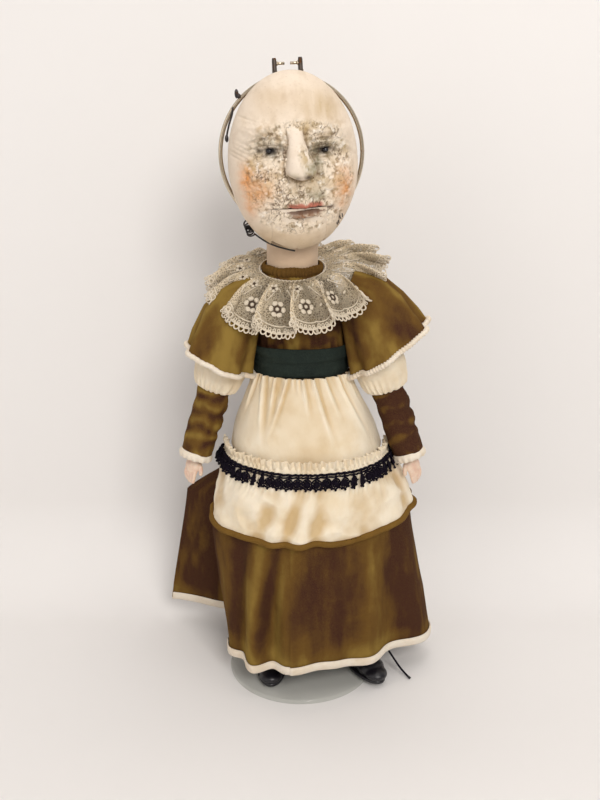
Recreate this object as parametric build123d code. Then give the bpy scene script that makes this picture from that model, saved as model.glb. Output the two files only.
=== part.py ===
from build123d import *
import math
import os

# Standing ventriloquist dummy in a dress, on a clear display stand. Millimetres.
# The dummy faces -Y, +Z is up, and +X is the dummy's own left side.
# The origin is the centre of the stand disc's underside.

# ---------------------------------------------------------------- driving dimensions
DISC_R, DISC_T = 78.0, 5.0          # clear stand disc
POST_R = 4.0                        # steel post under the skirt
SEAT_Z = 240.0                      # height at which the pelvis sits on the post
HIP_Z = 252.0                       # hip pin height
WAIST_Z = 343.0                     # skirt top, sash bottom
SHOULDER = (58.0, -6.0, 412.0)      # left shoulder pin, the right one mirrors x
ELBOW = (88.0, -6.0, 322.0)
WRIST_X = {"left": 110.0, "right": -107.0}
WRIST_Y, WRIST_Z = -14.0, 258.0
NECK = (-8.5, 10.0)                 # neck and headstick axis
NECK_R = 25.0
NOD_Z = 488.0                       # pin on which the head nods
HEAD_TURN, HEAD_LEAN = 7.0, -2.5    # degrees at rest
MASK_SEMI = (60.0, 48.0, 81.0)      # plaster face shell, half axes
MASK_MID = (0.0, -30.0, 61.0)       # its centre from the nod pin
MASK_T = 4.0
HOOP_SEMI = (66.0, 69.0)            # wire hoop behind the face
HOOP_WIRE_R = 2.0
RUN_GAP = 0.05                      # radial clearance of a pin in its bore
CLOTH = 2.0                         # plain thickness of a cloth solid
SIDES = {"left": 1, "right": -1}

# Skirt outline: height, half width, half depth, centre x, centre y.
BELL = [
    (WAIST_Z, 47, 37, 0, 0),
    (300, 64, 52, 0, 0),
    (250, 86, 66, 0, 0),
    (190, 107, 76, -2, 2),
    (110, 130, 82, -3, 5),
    (34, 143, 84, -4, 7),
]
# Body outline in the same form.
TORSO = [
    (264, 42, 33, 0, 2),
    (300, 42, 33, 0, 2),
    (355, 42, 32, 0, 3),
    (395, 41, 32, -1, 4),
    (425, 35, 29, -4, 7),
    (436, 30, 26, -6, 8),
]

parts = {}


# ---------------------------------------------------------------- helpers
def box(x0, x1, y0, y1, z0, z1):
    return Pos((x0 + x1) / 2, (y0 + y1) / 2, (z0 + z1) / 2) * Box(x1 - x0, y1 - y0, z1 - z0)


def rod(start, end, radius):
    """A round bar between two points."""
    a, b = Vector(*start), Vector(*end)
    plane = Plane(origin=(a + b) * 0.5, z_dir=b - a)
    return plane * Cylinder(radius, (b - a).length)


def tube(x, y, z0, z1, outer, inner=0.0):
    """An upright tube or disc."""
    middle, high = (z0 + z1) / 2, z1 - z0
    solid = Pos(x, y, middle) * Cylinder(outer, high)
    if inner:
        solid -= Pos(x, y, middle) * Cylinder(inner, high + 2)
    return solid


def ring_face(half_x, half_y, place, count=16):
    """A closed smooth oval outline as a face."""
    turns = [2 * math.pi * i / count for i in range(count)]
    points = [(half_x * math.cos(t), half_y * math.sin(t)) for t in turns]
    return place * make_face(Spline(*points, periodic=True))


def outline_solid(sections, grow=0.0, extend=0.0):
    """A solid lofted through an outline's sections, each half axis grown by the same amount."""
    last = len(sections) - 1
    heights = [s[0] for s in sections]
    faces = []
    for i, (z, a, b, x, y) in enumerate(sections):
        if i in (0, last):
            z += extend if z == max(heights) else -extend
        faces.append(ring_face(a + grow, b + grow, Pos(x, y, z)))
    return loft(faces)


def outline_shell(sections, outer, inner):
    return outline_solid(sections, outer) - outline_solid(sections, inner, extend=1.0)


def ellipsoid(semi, centre):
    return Pos(*centre) * scale(Sphere(1), by=semi)


def ball_shell(semi, centre, thickness):
    inner = tuple(s - thickness for s in semi)
    return ellipsoid(semi, centre) - ellipsoid(inner, centre)


def turned(profile):
    """A solid of revolution about Z from (radius, height) points."""
    edge = Polyline(*[(r, 0, z) for r, z in profile], close=True)
    return revolve(make_face(edge), Axis.Z)


# ---------------------------------------------------------------- display stand
def make_stand():
    disc = tube(0, 0, 0, DISC_T, DISC_R)
    disc = fillet(disc.edges().filter_by(GeomType.CIRCLE), 1.0)
    screw_ring_r, screw_r, head_r = 12.0, 1.3, 2.4
    flange_t, hub_r, hub_top = 3.0, 8.0, 20.0
    spots = [
        (screw_ring_r * math.cos(t), screw_ring_r * math.sin(t))
        for t in (math.radians(90 + 120 * i) for i in range(3))
    ]
    flange = tube(0, 0, DISC_T, DISC_T + flange_t, 15.5)
    flange += tube(0, 0, DISC_T + flange_t, hub_top, hub_r)
    flange -= tube(0, 0, DISC_T - 1, hub_top + 1, POST_R + RUN_GAP)
    screws = []
    for x, y in spots:
        disc -= tube(x, y, 1.5, DISC_T + 1, screw_r)
        flange -= tube(x, y, DISC_T - 1, DISC_T + flange_t + 1, screw_r)
        shank = tube(x, y, 2.0, DISC_T + flange_t, screw_r)
        screws.append(shank + tube(x, y, DISC_T + flange_t, DISC_T + flange_t + 1.6, head_r))
    parts["stand_base"] = disc
    parts["post_flange"] = flange
    parts["flange_screws"] = Compound(children=screws)
    parts["stand_post"] = tube(0, 0, DISC_T, SEAT_Z + 20, POST_R)
    parts["post_collar"] = tube(0, 0, SEAT_Z - 5, SEAT_Z - 0.2, 11, POST_R + RUN_GAP)


# ---------------------------------------------------------------- trunk
def hand_slot(half_width, low, high):
    """Tall round-ended slot through the back, for the operator's hand."""
    straight = box(-half_width, half_width, 8, 60, low + half_width, high - half_width)
    ends = [rod((0, 8, z), (0, 60, z), half_width) for z in (low + half_width, high - half_width)]
    return straight + ends[0] + ends[1]


def make_trunk():
    shell = outline_shell(TORSO, 0, -4)
    shell -= hand_slot(24, 340, 416)
    pin_r = 2.5
    hub = box(-18, 18, -15, 19, SEAT_Z, 263.6)
    plate = outline_solid(TORSO, -4.2) & box(-60, 60, -60, 60, 264.2, 272)
    block = hub + box(-16, 16, -13, 17, 263, 266) + plate
    block -= tube(0, 0, SEAT_Z - 1, SEAT_Z + 22, POST_R + RUN_GAP)
    hip_pins, shoulder_pins = [], []
    for side, s in SIDES.items():
        hip = rod((s * 7, 0, HIP_Z), (s * 46, 0, HIP_Z), pin_r)
        hip_pins.append(hip)
        block -= hip
        x, y, z = SHOULDER
        shoulder = rod((s * 28, y, z), (s * (x + 6), y, z), pin_r)
        shoulder_pins.append(shoulder)
        shell -= shoulder
    parts["torso_shell"] = shell
    parts["pelvis_block"] = block
    parts["hip_pins"] = Compound(children=hip_pins)
    parts["shoulder_pins"] = Compound(children=shoulder_pins)
    parts["neck_socket"] = tube(*NECK, 436.02, 440.2, 27, 15 + RUN_GAP)


# ---------------------------------------------------------------- neck, headstick and jaw lever
def make_stick():
    tongue_half, tongue_r, pin_r = 5.0, 8.0, 2.0
    neck = tube(*NECK, 440.5, 476, NECK_R) + tube(*NECK, 425, 440.5, 15)
    neck = fillet(neck.edges().filter_by(GeomType.CIRCLE).sort_by(Axis.Z)[-1], 4)
    x, y = NECK
    tongue = box(-tongue_half, tongue_half, -tongue_r, tongue_r, -17, 0)
    tongue += rod((-tongue_half, 0, 0), (tongue_half, 0, 0), tongue_r)
    tongue -= rod((-9, 0, 0), (9, 0, 0), pin_r + RUN_GAP)
    tongue -= box(-2.2, 2.2, -12, -0.2, -20, 12)
    cord_bore = tube(x, y, 340, 477, 3.2)
    neck = (neck + head_place() * tongue) - cord_bore
    lever_z, lever_y, lever_half = 382.0, y - 5.0, 2.0
    stick = tube(x, y, 352, 425, 8) - cord_bore
    stick -= box(x - 2.4, x + 2.4, y - 9, y + 9, lever_z - 16, lever_z + 7)
    pin = rod((x - 6.2, lever_y, lever_z), (x + 6.2, lever_y, lever_z), 1.2)
    stick -= pin
    lever = box(x - lever_half, x + lever_half, lever_y - 3, y + 12, lever_z - 3, lever_z + 3)
    lever += rod((x - lever_half, y + 12, lever_z), (x + lever_half, y + 12, lever_z), 3.5)
    lever -= rod((x - 9, lever_y, lever_z), (x + 9, lever_y, lever_z), 1.2 + RUN_GAP)
    parts["neck"] = neck
    parts["head_stick"] = stick
    parts["lever_pin"] = pin
    parts["jaw_lever"] = lever
    return lever_z


# ---------------------------------------------------------------- head, in its own frame at the nod pin
def head_place():
    return Pos(NECK[0], NECK[1], NOD_Z) * Rot(0, 0, HEAD_TURN) * Rot(0, HEAD_LEAN, 0)


def make_hoop(put):
    plane_y, mid_z, half_gap = -24.5, 68.0, 10.5
    lug_x, lug_half = 12.5, 1.5
    path = EllipticalCenterArc(
        (0, 0), HOOP_SEMI[0], HOOP_SEMI[1], start_angle=90 + half_gap, arc_size=360 - 2 * half_gap
    )
    upright = Pos(0, plane_y, mid_z) * Rot(90, 0, 0)
    start = path @ 0
    section = Plane(origin=start, z_dir=path % 0) * Circle(HOOP_WIRE_R)
    wire = sweep(section, path=path)
    parts["hoop"] = put * (upright * wire)
    top = mid_z + HOOP_SEMI[1]
    lugs = []
    for s in (-1, 1):
        lug = box(s * lug_x - lug_half, s * lug_x + lug_half, plane_y - 3, plane_y + 3, top - 4, top + 12)
        lug += rod((s * lug_x - lug_half, plane_y, top + 12), (s * lug_x + lug_half, plane_y, top + 12), 3)
        stud = rod((s * (lug_x - lug_half), plane_y, top + 9), (s * 2.7, plane_y, top + 9), 1.3)
        lugs.append((lug + stud) - upright * wire)
    parts["hoop_lugs"] = put * Compound(children=lugs)


def make_tie_wires(put):
    """Bent wires that bind the hoop and the face shell's rim on the right-hand side."""
    plane_y, mid_z = -24.5, 68.0
    wires = []
    for angle, reach in ((136, 7.0), (168, -3.0)):
        t = math.radians(angle)
        x, z = HOOP_SEMI[0] * math.cos(t), HOOP_SEMI[1] * math.sin(t)
        n = Vector(math.cos(t), 0, math.sin(t))
        at = Vector(x, plane_y, mid_z + z)
        loop = Plane(origin=at, z_dir=Vector(-n.Z, 0, n.X)) * Torus(3.1, 0.9)
        loop += rod(at + n * 3.1, at + n * (reach + 6 if reach > 0 else 6), 0.9)
        wires.append(loop)
    rim_x, rim_z, rim_y = MASK_SEMI[0] + 0.6, MASK_SEMI[2] + 0.6, MASK_MID[1] + 1.4
    arc = EllipticalCenterArc((0, 0), rim_x, rim_z, start_angle=222, arc_size=34)
    place = Pos(0, rim_y, MASK_MID[2]) * Rot(90, 0, 0)
    section = Plane(origin=arc @ 0, z_dir=arc % 0) * Circle(0.9)
    wires.append(place * sweep(section, path=arc))
    parts["tie_wires"] = put * Compound(children=wires)


def make_head():
    put = head_place()
    mouth_z, jaw_half, gap = 24.0, 25.0, 0.5
    _, rim_y, mid_z = MASK_MID
    front = box(-90, 90, -110, rim_y, -60, 170)
    mask = ball_shell(MASK_SEMI, MASK_MID, MASK_T) & front
    jaw_zone = box(-jaw_half, jaw_half, -110, -46, -60, mouth_z)
    jaw = mask & jaw_zone
    face = mask - box(-jaw_half - gap, jaw_half + gap, -110, -20, -60, mouth_z + gap)
    eyes, eye_r = [], 7.0
    for x in (-25, 26):
        depth = 1 - (x / MASK_SEMI[0]) ** 2 - (13 / MASK_SEMI[2]) ** 2
        y = rim_y - (MASK_SEMI[1] - 3) * math.sqrt(depth)
        face -= rod((x, y - 12, mid_z + 13), (x, y + 12, mid_z + 13), eye_r + 0.1)
        eyes.append(Pos(x, y, mid_z + 13) * Sphere(eye_r))
    nose = ellipsoid((9.5, 17, 25), (1.5, -75, 62)) - ellipsoid(
        tuple(s + 0.1 for s in MASK_SEMI), MASK_MID
    )
    nose = nose & box(-30, 30, -120, -60, 20, 100)
    axle_y, axle_z, axle_r = -38.0, 52.0, 1.5
    inside = ellipsoid(MASK_SEMI, MASK_MID)
    for s in (-1, 1):
        arm = Polyline((-42, 57), (-34, 57), (-33, 50), (-58, 6), (-68, 12), (-46, 50), close=True)
        side_plane = Plane(origin=(s * 20 - 1.25, 0, 0), x_dir=(0, 1, 0), z_dir=(1, 0, 0))
        plate = extrude(side_plane * make_face(arm), 2.5)
        jaw += plate & inside
    jaw += rod((-20, -47, 40), (20, -47, 40), 1.6)
    jaw -= rod((-30, axle_y, axle_z), (30, axle_y, axle_z), axle_r + RUN_GAP)
    spring_path = Helix(pitch=1.7, height=8.5, radius=3.0)
    spring = sweep(Plane(origin=spring_path @ 0, z_dir=spring_path % 0) * Circle(0.5), path=spring_path)
    board = Pos(0, -27.2, 68) * Rot(90, 0, 0) * extrude(Ellipse(50, 63), 2.2, both=True)
    board -= box(-18, 18, -40, -10, 70, 110)
    board -= box(-3, 3, -40, -10, 0, 28)
    bracket = box(-15, 15, -24.98, 12, -6, 16) - box(-5.4, 5.4, -14, 20, -12, 9.4)
    bracket -= box(-20, 20, -30, -21.5, -10, 4.5)
    bracket -= box(-2.5, 2.5, -30, -12, -10, 20)
    bracket -= rod((-20, 0, 0), (20, 0, 0), 2.0)
    back = ball_shell((54, 52, 68), (0, -21, 64), 3.5) & box(-90, 90, -21, 90, -60, 170)
    back -= box(-17, 17, -30, 30, -20, 30)
    parts["face_shell"] = put * face
    parts["jaw"] = put * jaw
    parts["eyes"] = put * Compound(children=eyes)
    parts["nose"] = put * nose
    parts["jaw_axle"] = put * rod((-54, axle_y, axle_z), (54, axle_y, axle_z), axle_r)
    parts["jaw_spring"] = put * (Pos(6, axle_y, axle_z) * Rot(0, 90, 0) * spring)
    parts["head_board"] = put * board
    parts["neck_bracket"] = put * bracket
    parts["nod_pin"] = put * rod((-15, 0, 0), (15, 0, 0), 2.0)
    parts["back_shell"] = put * back
    make_hoop(put)
    make_tie_wires(put)


def make_jaw_cord(lever_z):
    """String from the lever, up through the neck, over to the jaw's cross-bar."""
    x, y = NECK
    foot = (x, y - 1.0, lever_z + 3.4)
    bend = (x + 0.2, y - 1.6, NOD_Z - 11)
    bar = (head_place() * Pos(0, -44.6, 39)).position
    parts["jaw_cord"] = rod(foot, bend, 0.7) + Pos(*bend) * Sphere(0.7) + rod(bend, tuple(bar), 0.7)


# ---------------------------------------------------------------- arms and sleeves
def upper_place(side):
    s = SIDES[side]
    swing = math.degrees(math.atan2(ELBOW[0] - SHOULDER[0], SHOULDER[2] - ELBOW[2]))
    return Pos(s * SHOULDER[0], SHOULDER[1], SHOULDER[2]) * Rot(0, -s * swing, 0)


def fore_place(side):
    s = SIDES[side]
    drop = ELBOW[2] - WRIST_Z
    out = math.degrees(math.atan2(WRIST_X[side] - s * ELBOW[0], drop))
    ahead = math.degrees(math.atan2(ELBOW[1] - WRIST_Y, drop))
    return Pos(s * ELBOW[0], ELBOW[1], ELBOW[2]) * Rot(0, -out, 0) * Rot(-ahead, 0, 0)


def hand_solid():
    """Small composition hand hanging from the wrist along -Z, palm towards the body."""
    palm = Pos(0, 0, -77) * Box(7, 15, 16)
    palm = fillet(palm.edges().filter_by(Axis.Z), 2.5)
    hand = palm + tube(0, 0, -70, -64, 6)
    for i, long in enumerate((12, 14, 13, 10)):
        y = -5.6 + 3.7 * i
        hand += rod((0, y, -82), (0, y * 0.8, -85 - long), 2.1) + Pos(0, y * 0.8, -85 - long) * Sphere(2.1)
    thumb_tip = (0, -13, -86)
    hand += rod((0, -6, -72), thumb_tip, 2.3) + Pos(*thumb_tip) * Sphere(2.3)
    return hand


def make_arm(side):
    s = SIDES[side]
    put, put_fore = upper_place(side), fore_place(side)
    x, y, z = SHOULDER
    pin_hole = rod((s * 30, y, z), (s * (x + 7), y, z), 2.5 + RUN_GAP)
    arm = Sphere(7.5) + Pos(0, 0, -41) * Cone(11.5, 7.5, 78)
    ex, ey, ez = s * ELBOW[0], ELBOW[1], ELBOW[2]
    pin_r, tab_r, knuckle_r = 2.0, 5.5, 10.5
    tab = box(ex - 2, ex + 2, ey - 5, ey + 5, ez, ez + 19)
    tab += rod((ex - 2, ey, ez), (ex + 2, ey, ez), tab_r)
    tab -= rod((ex - 5, ey, ez), (ex + 5, ey, ez), pin_r + RUN_GAP)
    parts[f"upper_arm_{side}"] = put * arm - pin_hole + tab
    outer = [(18.5, -90), (22, -87), (25, -78), (25, -68), (20, -52), (15, -34)]
    edge = Spline(*[(r, 0, h) for r, h in outer])
    inner = Spline(*[(r - CLOTH + 0.5, 0, h) for r, h in outer])
    ends = [Line(edge @ i, inner @ i) for i in (0, 1)]
    parts[f"puff_{side}"] = put * revolve(make_face([edge, inner, *ends]), Axis.Z)
    knuckle = rod((ex - 9, ey, ez), (ex + 9, ey, ez), knuckle_r)
    fore = put_fore * (Pos(0, 0, -34) * Cone(7.5, 9.8, 60)) + knuckle
    fore -= box(ex - 2.5, ex + 2.5, ey - 14, ey + 14, ez - 6.5, ez + 14)
    parts[f"forearm_{side}"] = fore + rod((ex - 6, ey, ez), (ex + 6, ey, ez), pin_r)
    parts[f"hand_{side}"] = put_fore * (hand_solid() - tube(0, 0, -64, -50, 20))
    sleeve = Pos(0, 0, -29.5) * (Cone(13.6, 15, 59) - Cone(11.6, 13, 59.02))
    parts[f"sleeve_{side}"] = put_fore * sleeve
    parts[f"cuff_{side}"] = put_fore * tube(0, 0, -67, -59.1, 14.6, 11.2)


def make_cape(side):
    """Flared over-sleeve: a domed top over the shoulder and a wide slanting hem."""
    s = SIDES[side]
    inner_hem, outer_hem = {
        "left": ((52.0, 342.0), (122.0, 394.0)),
        "right": ((49.5, 344.0), (111.0, 369.5)),
    }[side]
    outlines = [
        (inner_hem, outer_hem, 38),
        ((51, inner_hem[1] + 32), (outer_hem[0] * 0.6 + 35, (outer_hem[1] + 424) / 2), 31),
        ((48, 410), (81, 416), 22),
        ((54, 425), (72, 426), 14),
    ]

    def solid(grow, shift):
        faces = []
        for i, (near, far, deep) in enumerate(outlines):
            x, z = (near[0] + far[0]) / 2, (near[1] + far[1]) / 2
            z += {0: -shift, len(outlines) - 1: grow}.get(i, 0)
            slope = math.degrees(math.atan2(far[1] - near[1], far[0] - near[0]))
            half = math.dist(near, far) / 2
            faces.append(ring_face(half + grow, deep + grow, Pos(s * x, -6, z) * Rot(0, -s * slope, 0)))
        return loft(faces)

    armhole = rod((s * 44, SHOULDER[1], SHOULDER[2]), (s * 57, SHOULDER[1], SHOULDER[2]), 6)
    parts[f"cape_{side}"] = solid(0, 0) - solid(-CLOTH, 1.0) - armhole


# ---------------------------------------------------------------- legs and boots
def leg_place(side):
    s = SIDES[side]
    splay = {"left": 9.0, "right": 0.0}[side]
    return Pos(s * 32, 0, HIP_Z) * Rot(0, -s * splay, 0)


def make_leg(side):
    s = SIDES[side]
    put = leg_place(side)
    knee, ankle = -102.0, -192.0
    thigh = Pos(0, 0, (knee - 4) / 2) * Cone(11, 12.5, -knee - 4 + 8)
    thigh = thigh & box(-30, 30, -30, 30, knee, 0)
    knuckle = rod((s * 20, 0, HIP_Z), (s * 44, 0, HIP_Z), 11.5)
    hip_bore = rod((s * 10, 0, HIP_Z), (s * 50, 0, HIP_Z), 2.5 + RUN_GAP)
    outer_half = box(*sorted((s * 19.9, s * 90)), -40, 40, 0, 300)
    parts[f"thigh_{side}"] = (put * thigh & outer_half) + knuckle - hip_bore
    calf = turned([
        (0, knee - 0.2), (10.8, knee - 0.2), (12.2, -125), (11.5, -148),
        (8.6, -180), (8.6, ankle), (0, ankle),
    ])
    parts[f"shin_{side}"] = put * calf
    ankle_at = (put * Pos(0, 0, ankle)).position
    toe_out = {"left": 27.0, "right": 0.0}[side]
    stand_z = DISC_T + 0.8
    frame = Pos(ankle_at.X, ankle_at.Y - 4, stand_z) * Rot(0, 0, toe_out)
    sole_t = 4.0
    outline = Pos(0, -16, 0) * Ellipse(16.5, 35)
    sole = extrude(outline, sole_t)
    upper = ellipsoid((17, 35.5, 24), (0, -16, 2)) & box(-40, 40, -90, 40, sole_t + 0.1, 40)
    shaft_top = ankle_at.Z - stand_z - 0.2
    shaft = Pos(0, 4, (sole_t + 4 + shaft_top) / 2) * Cone(13.5, 11.5, shaft_top - sole_t - 4)
    parts[f"boot_sole_{side}"] = frame * sole
    parts[f"boot_{side}"] = frame * (upper + shaft) - put * tube(0, 0, ankle - 0.2, ankle + 40, 30)


def make_boot_lace():
    """Free end of the left boot's lace: straight runs joined by tangent arcs, down to the table."""
    points = [
        (84.0, -8.0, 33.0),
        (93.0, -12.0, 28.5),
        (102.0, -19.5, 17.0),
        (110.5, -26.5, 6.5),
        (118.5, -33.0, 1.4),
    ]
    runs = [Vector(*b) - Vector(*a) for a, b in zip(points, points[1:])]
    radii = []
    for before, after in zip(runs, runs[1:]):
        turn = math.radians(before.get_angle(after))
        radii.append(0.45 * min(before.length, after.length) / math.tan(turn / 2))
    path = FilletPolyline(*points, radius=radii)
    wire_r = 1.1
    lace = sweep(Plane(origin=path @ 0, z_dir=path % 0) * Circle(wire_r), path=path)
    parts["boot_lace"] = lace
    print("lace radii", [round(r, 1) for r in radii], "length", round(path.length, 1),
          "volume share", round(lace.volume / (math.pi * wire_r**2 * path.length), 3))


# ---------------------------------------------------------------- dress
def make_dress():
    front = box(-200, 200, -200, -8, 0, 400)

    def band(outer, inner, low, high):
        return outline_shell(BELL, outer, inner) & box(-200, 200, -200, 200, low, high)

    parts["skirt"] = outline_shell(BELL, 0, -2.2)
    parts["skirt_hem"] = band(2.2, 0.15, 34, 42)
    parts["apron"] = band(2.4, 0.3, 262.2, WAIST_Z - 0.2) & front
    parts["flounce"] = band(4.8, 0.4, 185, 262) & front
    parts["black_lace"] = band(6.6, 5.0, 243, 259) & front
    bodice = outline_shell(TORSO, 2.4, 0.4) & box(-80, 80, -80, 80, WAIST_Z + 0.4, 435.8)
    bodice -= hand_slot(22, 352, 428)
    for s in SIDES.values():
        bodice -= rod((s * 30, SHOULDER[1], SHOULDER[2]), (s * 60, SHOULDER[1], SHOULDER[2]), 2.8)
    parts["bodice"] = bodice
    waist = [(WAIST_Z + 0.4, 48.5, 38.5, 0, 3), (373, 48.3, 38.3, 0, 3)]
    sash = outline_solid(waist) - outline_solid(waist, -2.2, extend=1)
    parts["sash"] = sash
    parts["neckband"] = tube(*NECK, 440.3, 451, 28.6, 25.9)


def make_collar():
    """Wide lace collar round the neck: a tilted, drooping oval ring."""
    drop = [(29.2, 0.0), (55, -1.5), (76, -6), (90, -15)]
    upper = Spline(*[(r, 0, z) for r, z in drop])
    lower = Spline(*[(r, 0, z - CLOTH) for r, z in drop])
    ends = [Line(upper @ i, lower @ i) for i in (0, 1)]
    ring = revolve(make_face([upper, lower, *ends]), Axis.Z)
    oval = scale(ring, by=(0.98, 0.72, 1))
    return Pos(-4, 2, 449) * Rot(12, -3, 0) * oval - tube(*NECK, 400, 500, 29.2)


def main():
    make_stand()
    make_trunk()
    lever_z = make_stick()
    make_head()
    make_jaw_cord(lever_z)
    for side in SIDES:
        make_arm(side)
        make_cape(side)
        make_leg(side)
    make_boot_lace()
    make_dress()
    parts["lace_collar"] = make_collar()
    os.makedirs("parts", exist_ok=True)
    for name, shape in parts.items():
        export_step(shape, f"parts/{name}.step")
    print(len(parts), "parts")


main()
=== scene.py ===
import math
import random

import bpy
import numpy as np
from mathutils import Euler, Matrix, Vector


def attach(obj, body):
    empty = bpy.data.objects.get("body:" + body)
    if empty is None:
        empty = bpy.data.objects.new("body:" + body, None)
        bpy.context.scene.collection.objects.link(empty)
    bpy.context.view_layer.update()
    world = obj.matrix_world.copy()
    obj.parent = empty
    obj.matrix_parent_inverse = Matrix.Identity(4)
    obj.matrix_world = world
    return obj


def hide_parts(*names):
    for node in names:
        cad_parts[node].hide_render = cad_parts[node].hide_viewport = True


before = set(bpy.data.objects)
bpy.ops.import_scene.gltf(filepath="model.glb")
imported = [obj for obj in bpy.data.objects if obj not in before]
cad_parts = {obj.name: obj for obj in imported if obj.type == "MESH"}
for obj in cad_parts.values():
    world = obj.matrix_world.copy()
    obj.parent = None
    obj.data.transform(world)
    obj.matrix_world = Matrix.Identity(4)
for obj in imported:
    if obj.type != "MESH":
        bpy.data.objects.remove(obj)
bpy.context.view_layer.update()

MM = 0.001
TAU = 2 * math.pi

# Shared with the model, in millimetres.
NECK_X, NECK_Y, NOD_Z = -8.5, 10.0, 488.0
HEAD_TURN, HEAD_LEAN = 7.0, -2.5
MASK = np.array([60.0, 48.0, 81.0])
MASK_MID = np.array([0.0, -30.0, 61.0])
MOUTH_Z, JAW_HALF = 24.0, 25.0
SHOULDER = np.array([58.0, -6.0, 412.0])
ELBOW = np.array([88.0, -6.0, 322.0])
WRIST = {"left": np.array([110.0, -14.0, 258.0]), "right": np.array([-107.0, -14.0, 258.0])}
WAIST_Z = 343.0
SIDES = {"left": 1.0, "right": -1.0}


# ---------------------------------------------------------------- number helpers
def smooth(edge0, edge1, x):
    t = np.clip((np.asarray(x, float) - edge0) / (edge1 - edge0), 0, 1)
    return t * t * (3 - 2 * t)


def bell(x, width):
    return np.exp(-(np.asarray(x, float) / width) ** 2)


def hashed(ix, iy, seed):
    """A repeatable random number from 0 to 1 for each whole-number cell."""
    n = (ix.astype(np.int64) * 374761393 + iy.astype(np.int64) * 668265263 + seed * 1442695041) & 0x7FFFFFFF
    n = ((n ^ (n >> 13)) * 1274126177) & 0x7FFFFFFF
    return ((n ^ (n >> 16)) & 0xFFFFF) / float(0xFFFFF)


def value_noise(x, y, seed=0):
    ix, iy = np.floor(x), np.floor(y)
    fx, fy = x - ix, y - iy
    fx, fy = fx * fx * (3 - 2 * fx), fy * fy * (3 - 2 * fy)
    a, b = hashed(ix, iy, seed), hashed(ix + 1, iy, seed)
    c, d = hashed(ix, iy + 1, seed), hashed(ix + 1, iy + 1, seed)
    return (a * (1 - fx) + b * fx) * (1 - fy) + (c * (1 - fx) + d * fx) * fy


def lumps(x, y, size, octaves=3, seed=0):
    """Soft noise from about -1 to 1, with lumps of the given size."""
    total, weight, share = 0.0, 0.0, 1.0
    for i in range(octaves):
        step = size / 2 ** i
        total = total + share * (2 * value_noise(x / step, y / step, seed + 17 * i) - 1)
        weight += share
        share *= 0.55
    return total / weight


def crack_cells(x, y, size, seed=0):
    """(distance from the nearest plate edge, a random height per plate), for plates of one size."""
    px, py = x / size, y / size
    ix, iy = np.floor(px), np.floor(py)
    first = np.full(px.shape, 9.0)
    second = np.full(px.shape, 9.0)
    level = np.zeros(px.shape)
    for dx in (-1, 0, 1):
        for dy in (-1, 0, 1):
            cx, cy = ix + dx, iy + dy
            gx, gy = cx + hashed(cx, cy, seed), cy + hashed(cx, cy, seed + 5)
            gap = np.hypot(px - gx, py - gy)
            nearer = gap < first
            second = np.where(nearer, first, np.minimum(second, gap))
            level = np.where(nearer, hashed(cx, cy, seed + 9), level)
            first = np.where(nearer, gap, first)
    return (second - first) * size, level


def around(count):
    """Angles evenly spaced once round."""
    return np.linspace(0, TAU, count, endpoint=False)


def lattice(rows, cols, start=0.0, end=TAU, closed=True):
    """Two arrays: one runs from 0 to 1 down the rows, the other from start to end along the columns."""
    return np.meshgrid(np.linspace(0, 1, rows), np.linspace(start, end, cols, endpoint=not closed),
                       indexing="ij")


def spline(points, count, closed=False):
    """Points evenly spaced in parameter on a smooth curve through the given ones."""
    p = np.array(points, float)
    n = len(p)
    spans = n if closed else n - 1
    t = np.linspace(0, spans, count, endpoint=not closed)
    i = np.minimum(t.astype(int), spans - 1)
    f = (t - i)[:, None]
    pick = (lambda k: p[k % n]) if closed else (lambda k: p[np.clip(k, 0, n - 1)])
    a, b, c, d = pick(i - 1), pick(i), pick(i + 1), pick(i + 2)
    return (0.5 * (2 * b + (c - a) * f + (2 * a - 5 * b + 4 * c - d) * f ** 2
                   + (3 * b - a - 3 * c + d) * f ** 3))


# ---------------------------------------------------------------- mesh helpers
def add_mesh(name, verts, faces, look, tint=None):
    mesh = bpy.data.meshes.new(name)
    mesh.from_pydata((np.asarray(verts, float) * MM).tolist(), [], faces)
    mesh.update()
    obj = bpy.data.objects.new(name, mesh)
    bpy.context.collection.objects.link(obj)
    mesh.materials.append(look)
    mesh.shade_smooth()
    if tint is not None:
        layer = mesh.color_attributes.new("tint", "FLOAT_COLOR", "POINT")
        rgba = np.ones((len(verts), 4))
        rgba[:, : tint.shape[1]] = tint
        layer.data.foreach_set("color", rgba.ravel())
    return obj


def grid_faces(rows, cols, wrap=False, start=0):
    faces = []
    for r in range(rows - 1):
        for c in range(cols if wrap else cols - 1):
            d = (c + 1) % cols
            faces.append((start + r * cols + c, start + r * cols + d, start + (r + 1) * cols + d,
                          start + (r + 1) * cols + c))
    return faces


def faces_inward(verts, faces):
    """True if the faces look towards the middle of the piece rather than away from it."""
    quads = verts[np.array(faces)]
    normals = np.cross(quads[:, 2] - quads[:, 0], quads[:, 3] - quads[:, 1])
    return np.sum(normals * (quads.mean(1) - verts.mean(0))) < 0


def grid(name, points, look, wrap=False, thick=0.0, tint=None, keep=None):
    """A mesh from a (rows, cols, 3) array of points. keep is a function of (row, col) that drops faces."""
    rows, cols = points.shape[:2]
    faces = grid_faces(rows, cols, wrap)
    if keep is not None:
        faces = [f for f in faces if keep(f[0] // cols, f[0] % cols)]
    if faces_inward(points.reshape(-1, 3), faces):
        faces = [f[::-1] for f in faces]
    flat_tint = None if tint is None else tint.reshape(-1, tint.shape[-1])
    obj = add_mesh(name, points.reshape(-1, 3), faces, look, flat_tint)
    if thick:
        shell = obj.modifiers.new("thickness", "SOLIDIFY")
        shell.thickness = thick * MM
        shell.offset = -1
    return obj


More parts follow.
